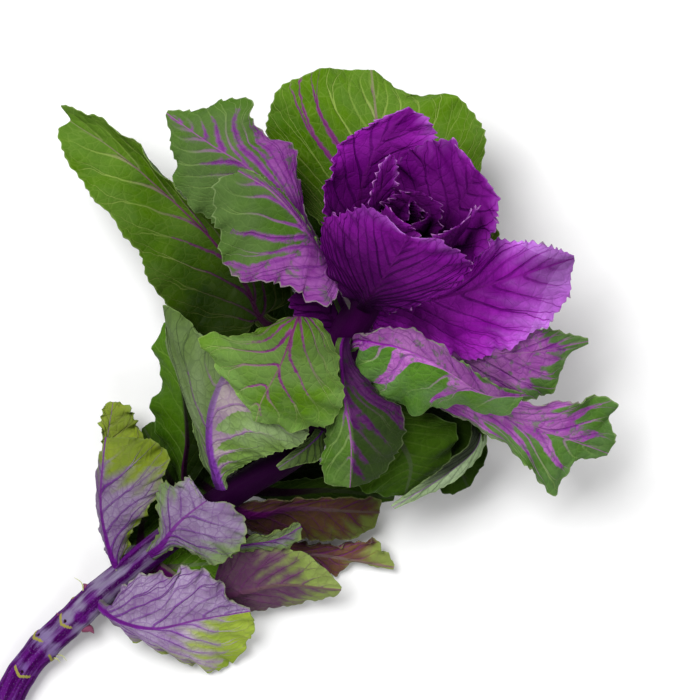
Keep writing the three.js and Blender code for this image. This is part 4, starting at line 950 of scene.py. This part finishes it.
def leaf_material(name):
    """Kale leaf: veins that fork, a net of fine ones, a coloured zone that runs out along the veins."""
    look = LOOKS[name]
    tint = {key: colour(*look[key]) for key in TINTS}
    g = Graph("leaf_" + name)
    phase, step, out = g.field("vein")
    across, along, side = g.field("flat")
    zone, place, rim = g.field("zone")
    rib, tone, seed = g.field("rib")
    flat = g.vector(across, along, g.times(seed, 13.0))

    # Side veins: the nearest one, how far it forks, and the draws that make each differ.
    warp = g.less(g.noise(flat, 0.07, 3.0), 0.5)
    bent = g.add(phase, g.times(g.times(warp, 1.5), out))
    vein = g.math("FLOOR", g.add(bent, 0.5))
    off = g.math("ABSOLUTE", g.less(bent, vein))
    draw = g.node("TexWhiteNoise", {"Vector": g.vector(vein, g.math("SIGN", across), seed)})
    chance = draw.outputs["Value"]
    chances = g.node("SeparateColor", {0: draw.outputs["Color"]}).outputs
    fork = g.step(out, g.add(g.times(chance, 0.4), 0.25), 1.1, 0.0, 0.3)
    away = g.times(g.math("ABSOLUTE", g.less(off, fork)), step)
    half = g.add(g.times(g.math("POWER", g.less(1.0, out), 1.5), look["vein"]), 0.1)
    main = g.step(g.math("DIVIDE", away, half), 0.5, 1.8, 1.0, 0.0)
    main = g.times(main, g.add(g.times(chances[2], 0.6), 0.4))
    main = g.times(main, g.step(place, 0.82, 1.0, 1.0, 0.1))

    # The net of fine veins, in two sizes.
    bend = g.vector(g.times(warp, 6.0), g.times(warp, -5.0))
    shaken = g.node("VectorMath", {0: flat, 1: bend}, operation="ADD").outputs[0]
    cells = g.net(shaken, 1 / look["cell"])
    fine = g.step(cells, 0.01, 0.08, 1.0, 0.0)
    finer = g.step(g.net(shaken, 2.7 / look["cell"]), 0.0, 0.14, 1.0, 0.0)
    thin = g.math("MAXIMUM", fine, g.times(finer, 0.5))

    # The inner colour's zone, with tongues and streaks along the veins.
    grain = g.less(g.noise(flat, 0.5, 3.0), 0.5)
    patch = g.less(g.noise(flat, 0.12, 3.0), 0.5)
    full = g.times(g.add(zone, g.times(patch, look["ragged"])), look["tongue"])
    run = g.add(zone, g.times(g.less(chances[1], look["run_from"]), look["run"]))
    widest = g.math("MAXIMUM", full, g.step(run, 0.0, 0.4, 0.0, look["streak"]))
    tongue = g.add(g.less(widest, away), g.times(grain, 2.0))
    beside = g.step(zone, -look["flush"], 0.0)
    zone = g.times(g.step(tongue, -look["soft"], look["soft"]), g.math("GREATER_THAN", widest, 0.02))

    # Colours.
    mottle = g.step(g.noise(flat, 0.09, 4.0, 0.6), 0.35, 0.68)
    bloom = g.step(g.add(g.noise(flat, 0.045, 3.0), g.times(place, 0.25)), 0.5, 0.78)
    outer = g.mix(mottle, tint["outer"], tint["outer_2"])
    outer = g.mix(g.times(bloom, look["bloom"]), outer, tint["waxy"])
    fleck = g.step(g.noise(flat, 0.3, 4.0, 0.6), 0.52, 0.66, 0.0, look["fleck"])
    inner = g.mix(fleck, g.mix(mottle, tint["inner"], tint["inner_2"]), outer)
    inner = g.mix(g.times(thin, look["net_in"]), inner, tint["vein_in"])
    inner = g.mix(g.times(main, look["main_in"]), inner, tint["vein_in"])
    outer = g.mix(g.times(thin, look["net_out"]), outer, tint["vein_out"])
    strength = g.step(beside, 0.0, 1.0, look["main_out"], FLUSH)
    outer = g.mix(g.times(main, strength), outer, g.mix(beside, tint["vein_out"], tint["inner"]))
    body = g.mix(zone, outer, inner)
    band = g.mix(g.step(place, *look["rib_way"]), tint["rib"], tint["rib_tip"])
    body = g.mix(g.step(rib, 0.6, 1.05, 1.0, 0.0), body, band)
    body = g.mix(g.step(side, -0.2, 0.2, look["pale"], 0.0), body, colour(*PALE))
    # Tone darkens or lightens the colour: the leaf's own lightness, painted light and shade, and a random
    # variation.
    body = g.shaded(g.times(tone, g.add(g.times(g.noise(flat, 0.03, 2.0), 0.5), 0.75)), body)
    rim_tint = g.shaded(g.math("POWER", tone, RIM_TONE), tint["rim_tint"])
    edge = g.step(g.add(rim, grain), 0.1, look["rim_width"], 1.0, 0.0)
    body = g.mix(g.times(edge, look["rim"]), body, rim_tint)

    # Relief: veins are hollows above and ridges below, and the blade swells in the net's cells.
    ridge = g.times(g.add(main, g.times(thin, 0.3)), g.times(side, -1.0))
    height = g.add(ridge, g.times(g.step(cells, 0.0, 0.4), g.times(side, 0.5)))
    height = g.add(height, g.times(grain, 0.4))
    return g.finish(body, g.step(grain, -0.3, 0.3, *look["gloss"]), height, look["relief"], 0.35)


# ---- stem ----
def across_and_up(way):
    """The level way square to a line's way, and the one square to both."""
    side = unit(np.cross(way, np.array([0, 0, 1.0])))
    return side, np.cross(side, way)


def ring_tube(line, radii, steps, sides, bump=None):
    """A closed tube of quads, with its length, its turn and what its looks need at each point."""
    share = np.linspace(0, 1, steps + 1)
    turn = np.arange(sides) / sides * 2 * np.pi
    centre = line.at(share)
    side, top = across_and_up(line.way(share))
    radius = np.interp(share, np.linspace(0, 1, len(radii)), radii)[:, None] * np.ones(sides)
    marks = np.zeros((steps + 1, sides, 3))
    if bump:
        rise, marks = bump(share[:, None], turn[None, :], line.length)
        radius = radius + rise
    out = np.cos(turn)[None, :, None] * side[:, None] + np.sin(turn)[None, :, None] * top[:, None]
    points = centre[:, None] + out * radius[:, :, None]
    points[..., 2] = np.maximum(points[..., 2], TABLE_GAP)
    grid = np.arange((steps + 1) * sides).reshape(steps + 1, sides)
    after = np.roll(grid, -1, axis=1)
    faces = np.stack([grid[:-1], after[:-1], after[1:], grid[1:]], -1).reshape(-1, 4)
    caps = [
        np.stack([ring[::2], ring[1::2], np.roll(ring, -2)[::2], np.full(sides // 2, end)], -1)
        for ring, end in ((grid[0][::-1], grid.size), (grid[-1], grid.size + 1))
    ]
    vertices = np.vstack([points.reshape(-1, 3), centre[:1], centre[-1:]])
    length = share[:, None] * line.length * np.ones(sides)
    bark = np.stack([np.cos(turn) * radius, np.sin(turn) * radius, length], -1)
    bark = np.vstack([bark.reshape(-1, 3), [[0, 0, 0], [0, 0, line.length]]])
    marks = np.vstack([marks.reshape(-1, 3), np.zeros((2, 3))])
    on_rim = np.zeros(len(vertices), int)
    on_rim[grid[0]], on_rim[grid[-1]] = 1, 2
    return vertices, np.vstack([faces, *caps]), {"bark": bark, "mark": marks}, on_rim


def stem_bump(share, turn, length):
    """Rise of the stem's surface, and its marks: scar, bud, and below zero the grey ring above a scar."""
    rise = 0.12 * np.sin(5 * turn + 2 * ripple(share * 9, 1)) + 0.1 * ripple(share * 60 + 2 * np.sin(turn), 2)
    scar, bud, ring = (np.zeros_like(rise) for _ in range(3))
    for place, facing in SCARS:
        off = np.abs((turn - math.radians(facing) + np.pi) % (2 * np.pi) - np.pi)
        along = (share - place) * length
        arms = np.exp(-((along - SCAR_BEND * off) / SCAR_WIDTH) ** 4)
        arms = arms * (1 - np.clip((off - SCAR_TURN) * 6, 0, 1))
        scar = np.maximum(scar, arms)
        bud = np.maximum(bud, np.exp(-np.hypot((along - BUD_PLACE) / BUD_SIZE[0], off / BUD_SIZE[1]) ** 4))
        ring = np.maximum(ring, np.exp(-((along - RING_PLACE) / RING_WIDTH) ** 2) * (1 - 0.2 * off))
        rise = rise + KNOT_RISE * np.exp(-(along / KNOT_WIDTH) ** 2) + SCAR_RISE * arms
    return rise - BUD_DEPTH * bud, np.stack([scar, bud, -ring], -1)


def sprouts(line):
    """What is left of old leaf stalks, and thin pale roots. Their third mark says which."""
    parts = []
    for place, facing, reach, thick, kind in SPROUTS:
        way = line.way(place)[0]
        side, top = across_and_up(way)
        angle = math.radians(facing)
        out = math.cos(angle) * side + math.sin(angle) * top
        start = line.at(place)[0] + out * SPROUT_START
        tip = start + out * reach + way * reach * 0.35
        middle = (start + tip) / 2 + way * reach * 0.2
        tube = ring_tube(Line([start, middle, tip]), [thick, thick * 0.8, SPROUT_TIP], 9, 8)
        tube[2]["mark"][:, 2] = kind
        parts.append(tube)
    return parts


def stem_material():
    """Purple bark with waxy streaks and grey rings, greenish scars and roots, a pale pith on the cut, and
    painted shade beneath the leaves.
    """
    g = Graph("stem_skin")
    x, y, z = g.field("bark")
    scar, bud, sprout = g.field("mark")
    streak = g.noise(g.vector(x, y, g.times(z, 0.06)), 0.55, 4.0, 0.6)
    blotch = g.noise(g.vector(x, y, g.times(z, 0.25)), 0.16, 3.0)
    fleck = g.noise(g.vector(x, y, z), 1.4, 4.0, 0.7)
    ring = g.math("MAXIMUM", g.times(sprout, -0.16), 0.0)
    waxy = g.add(g.add(blotch, g.times(streak, 0.4)), ring)
    waxy = g.times(g.step(waxy, 0.68, 0.92), g.step(z, *WAXY, 0.6, 0.85))
    skin = g.mix(g.step(streak, 0.38, 0.62), colour(52, 0, 66), colour(84, 18, 106))
    skin = g.mix(waxy, skin, g.mix(g.step(z, *WAXY), colour(116, 88, 154), colour(134, 128, 148)))
    layers = [
        (g.times(g.step(fleck, 0.55, 0.72), 0.28), (150, 134, 170)),
        # painted shade where the stem runs beneath the leaves
        (g.step(z, *SHADED), (28, 2, 32)),
        # that painted shade eased to a dark purple beneath the head
        (g.step(z, *NECK), (56, 4, 62)),
        (g.step(g.add(scar, g.less(fleck, 0.5)), 0.35, 0.6), (136, 130, 64)),
        (g.step(bud, 0.3, 0.6), (36, 10, 30)),
        (g.step(sprout, 0.2, 0.4), (124, 66, 92)),
        (g.step(sprout, 0.6, 0.8), (190, 196, 124)),
    ]
    for share, tint in layers:
        skin = g.mix(share, skin, colour(*tint))
    radius = g.math("SQRT", g.add(g.times(x, x), g.times(y, y)))
    pith = g.mix(g.step(radius, 3.6, 4.6), colour(206, 210, 168), colour(150, 160, 104))
    pith = g.mix(g.step(radius, 4.8, 5.3), pith, colour(104, 50, 128))
    skin = g.mix(g.times(g.step(z, 0.0, 0.15, 1.0, 0.0), g.less(1.0, sprout)), skin, pith)
    return g.finish(skin, g.step(streak, 0.3, 0.7, 0.36, 0.55), g.add(streak, g.times(fleck, 0.5)), 0.5, 0.5)


# ---- the whole ----
def build_leaves():
    materials = {name: leaf_material(name) for name in LOOKS}
    hearts = []
    for seed, leaf in enumerate(LEAVES, 1):
        sheet = closed_sheet(*leaf_surface(leaf, seed))
        if leaf["look"] == "heart":
            hearts.append(sheet)
            continue
        thing = piece("fine_" + leaf["name"], sheet, materials[leaf["look"]])
        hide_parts(leaf["name"])
    heart = piece("fine_heart", joined(hearts), materials["heart"])
    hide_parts("heart")


def build_stem():
    line = Line(from_plan([point[:3] for point in STEM]))
    body = ring_tube(line, [point[3] for point in STEM], STEM_STEPS, STEM_SIDES, stem_bump)
    stem = piece("fine_stem", joined([body, *sprouts(line)]), stem_material())
    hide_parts("stem")


def build_floor():
    mesh = bpy.data.meshes.new("floor")
    reach = FLOOR_REACH * MM
    corners = [(-reach, -reach, 0), (reach, -reach, 0), (reach, reach, 0), (-reach, reach, 0)]
    mesh.from_pydata(corners, [], [(0, 1, 2, 3)])
    g = Graph("floor_paper")
    place = g.node("NewGeometry").outputs["Position"]
    tone = g.step(g.noise(place, 40.0, 3.0), 0.3, 0.7)
    g.put(g.shader.inputs["Base Color"], g.mix(tone, colour(236, 236, 236), colour(240, 240, 240)))
    g.shader.inputs["Roughness"].default_value = 0.9
    mesh.materials.append(g.material)
    floor = put_down("floor", mesh)


def camera():
    """Straight above the middle of the plan, as high as the plan's eye."""
    data = bpy.data.cameras.new("camera")
    data.sensor_fit = "HORIZONTAL"
    data.angle = 2 * math.atan(PLAN_MIDDLE * SQUARE / (EYE_HEIGHT - LEVEL))
    data.clip_start = 0.05
    eye = put_down("camera", data)
    eye.location = to_frame([0, 0, EYE_HEIGHT])
    eye.rotation_euler = (0, 0, -HEADING)
    bpy.context.scene.camera = eye


def lights():
    """Square soft lamps that face the middle of the plan, and an even light from all round."""
    for name, place, size, power in LAMPS:
        data = bpy.data.lights.new(name, "AREA")
        data.shape = "SQUARE"
        data.size = size * MM
        data.energy = power
        light = put_down(name, data)
        light.location = to_frame(place)
        away = light.location - Vector(to_frame([0, 0, LEVEL]))
        light.rotation_euler = away.to_track_quat("Z", "Y").to_euler()
    world = bpy.data.worlds.new("studio")
    world.use_nodes = True
    backdrop = world.node_tree.nodes["Background"]
    backdrop.inputs["Color"].default_value = (1, 1, 1, 1)
    backdrop.inputs["Strength"].default_value = ROOM_LIGHT
    bpy.context.scene.world = world
    bpy.context.scene.view_settings.view_transform = "Standard"


build_leaves()
build_stem()
build_floor()
camera()
lights()

bpy.context.view_layer.update()
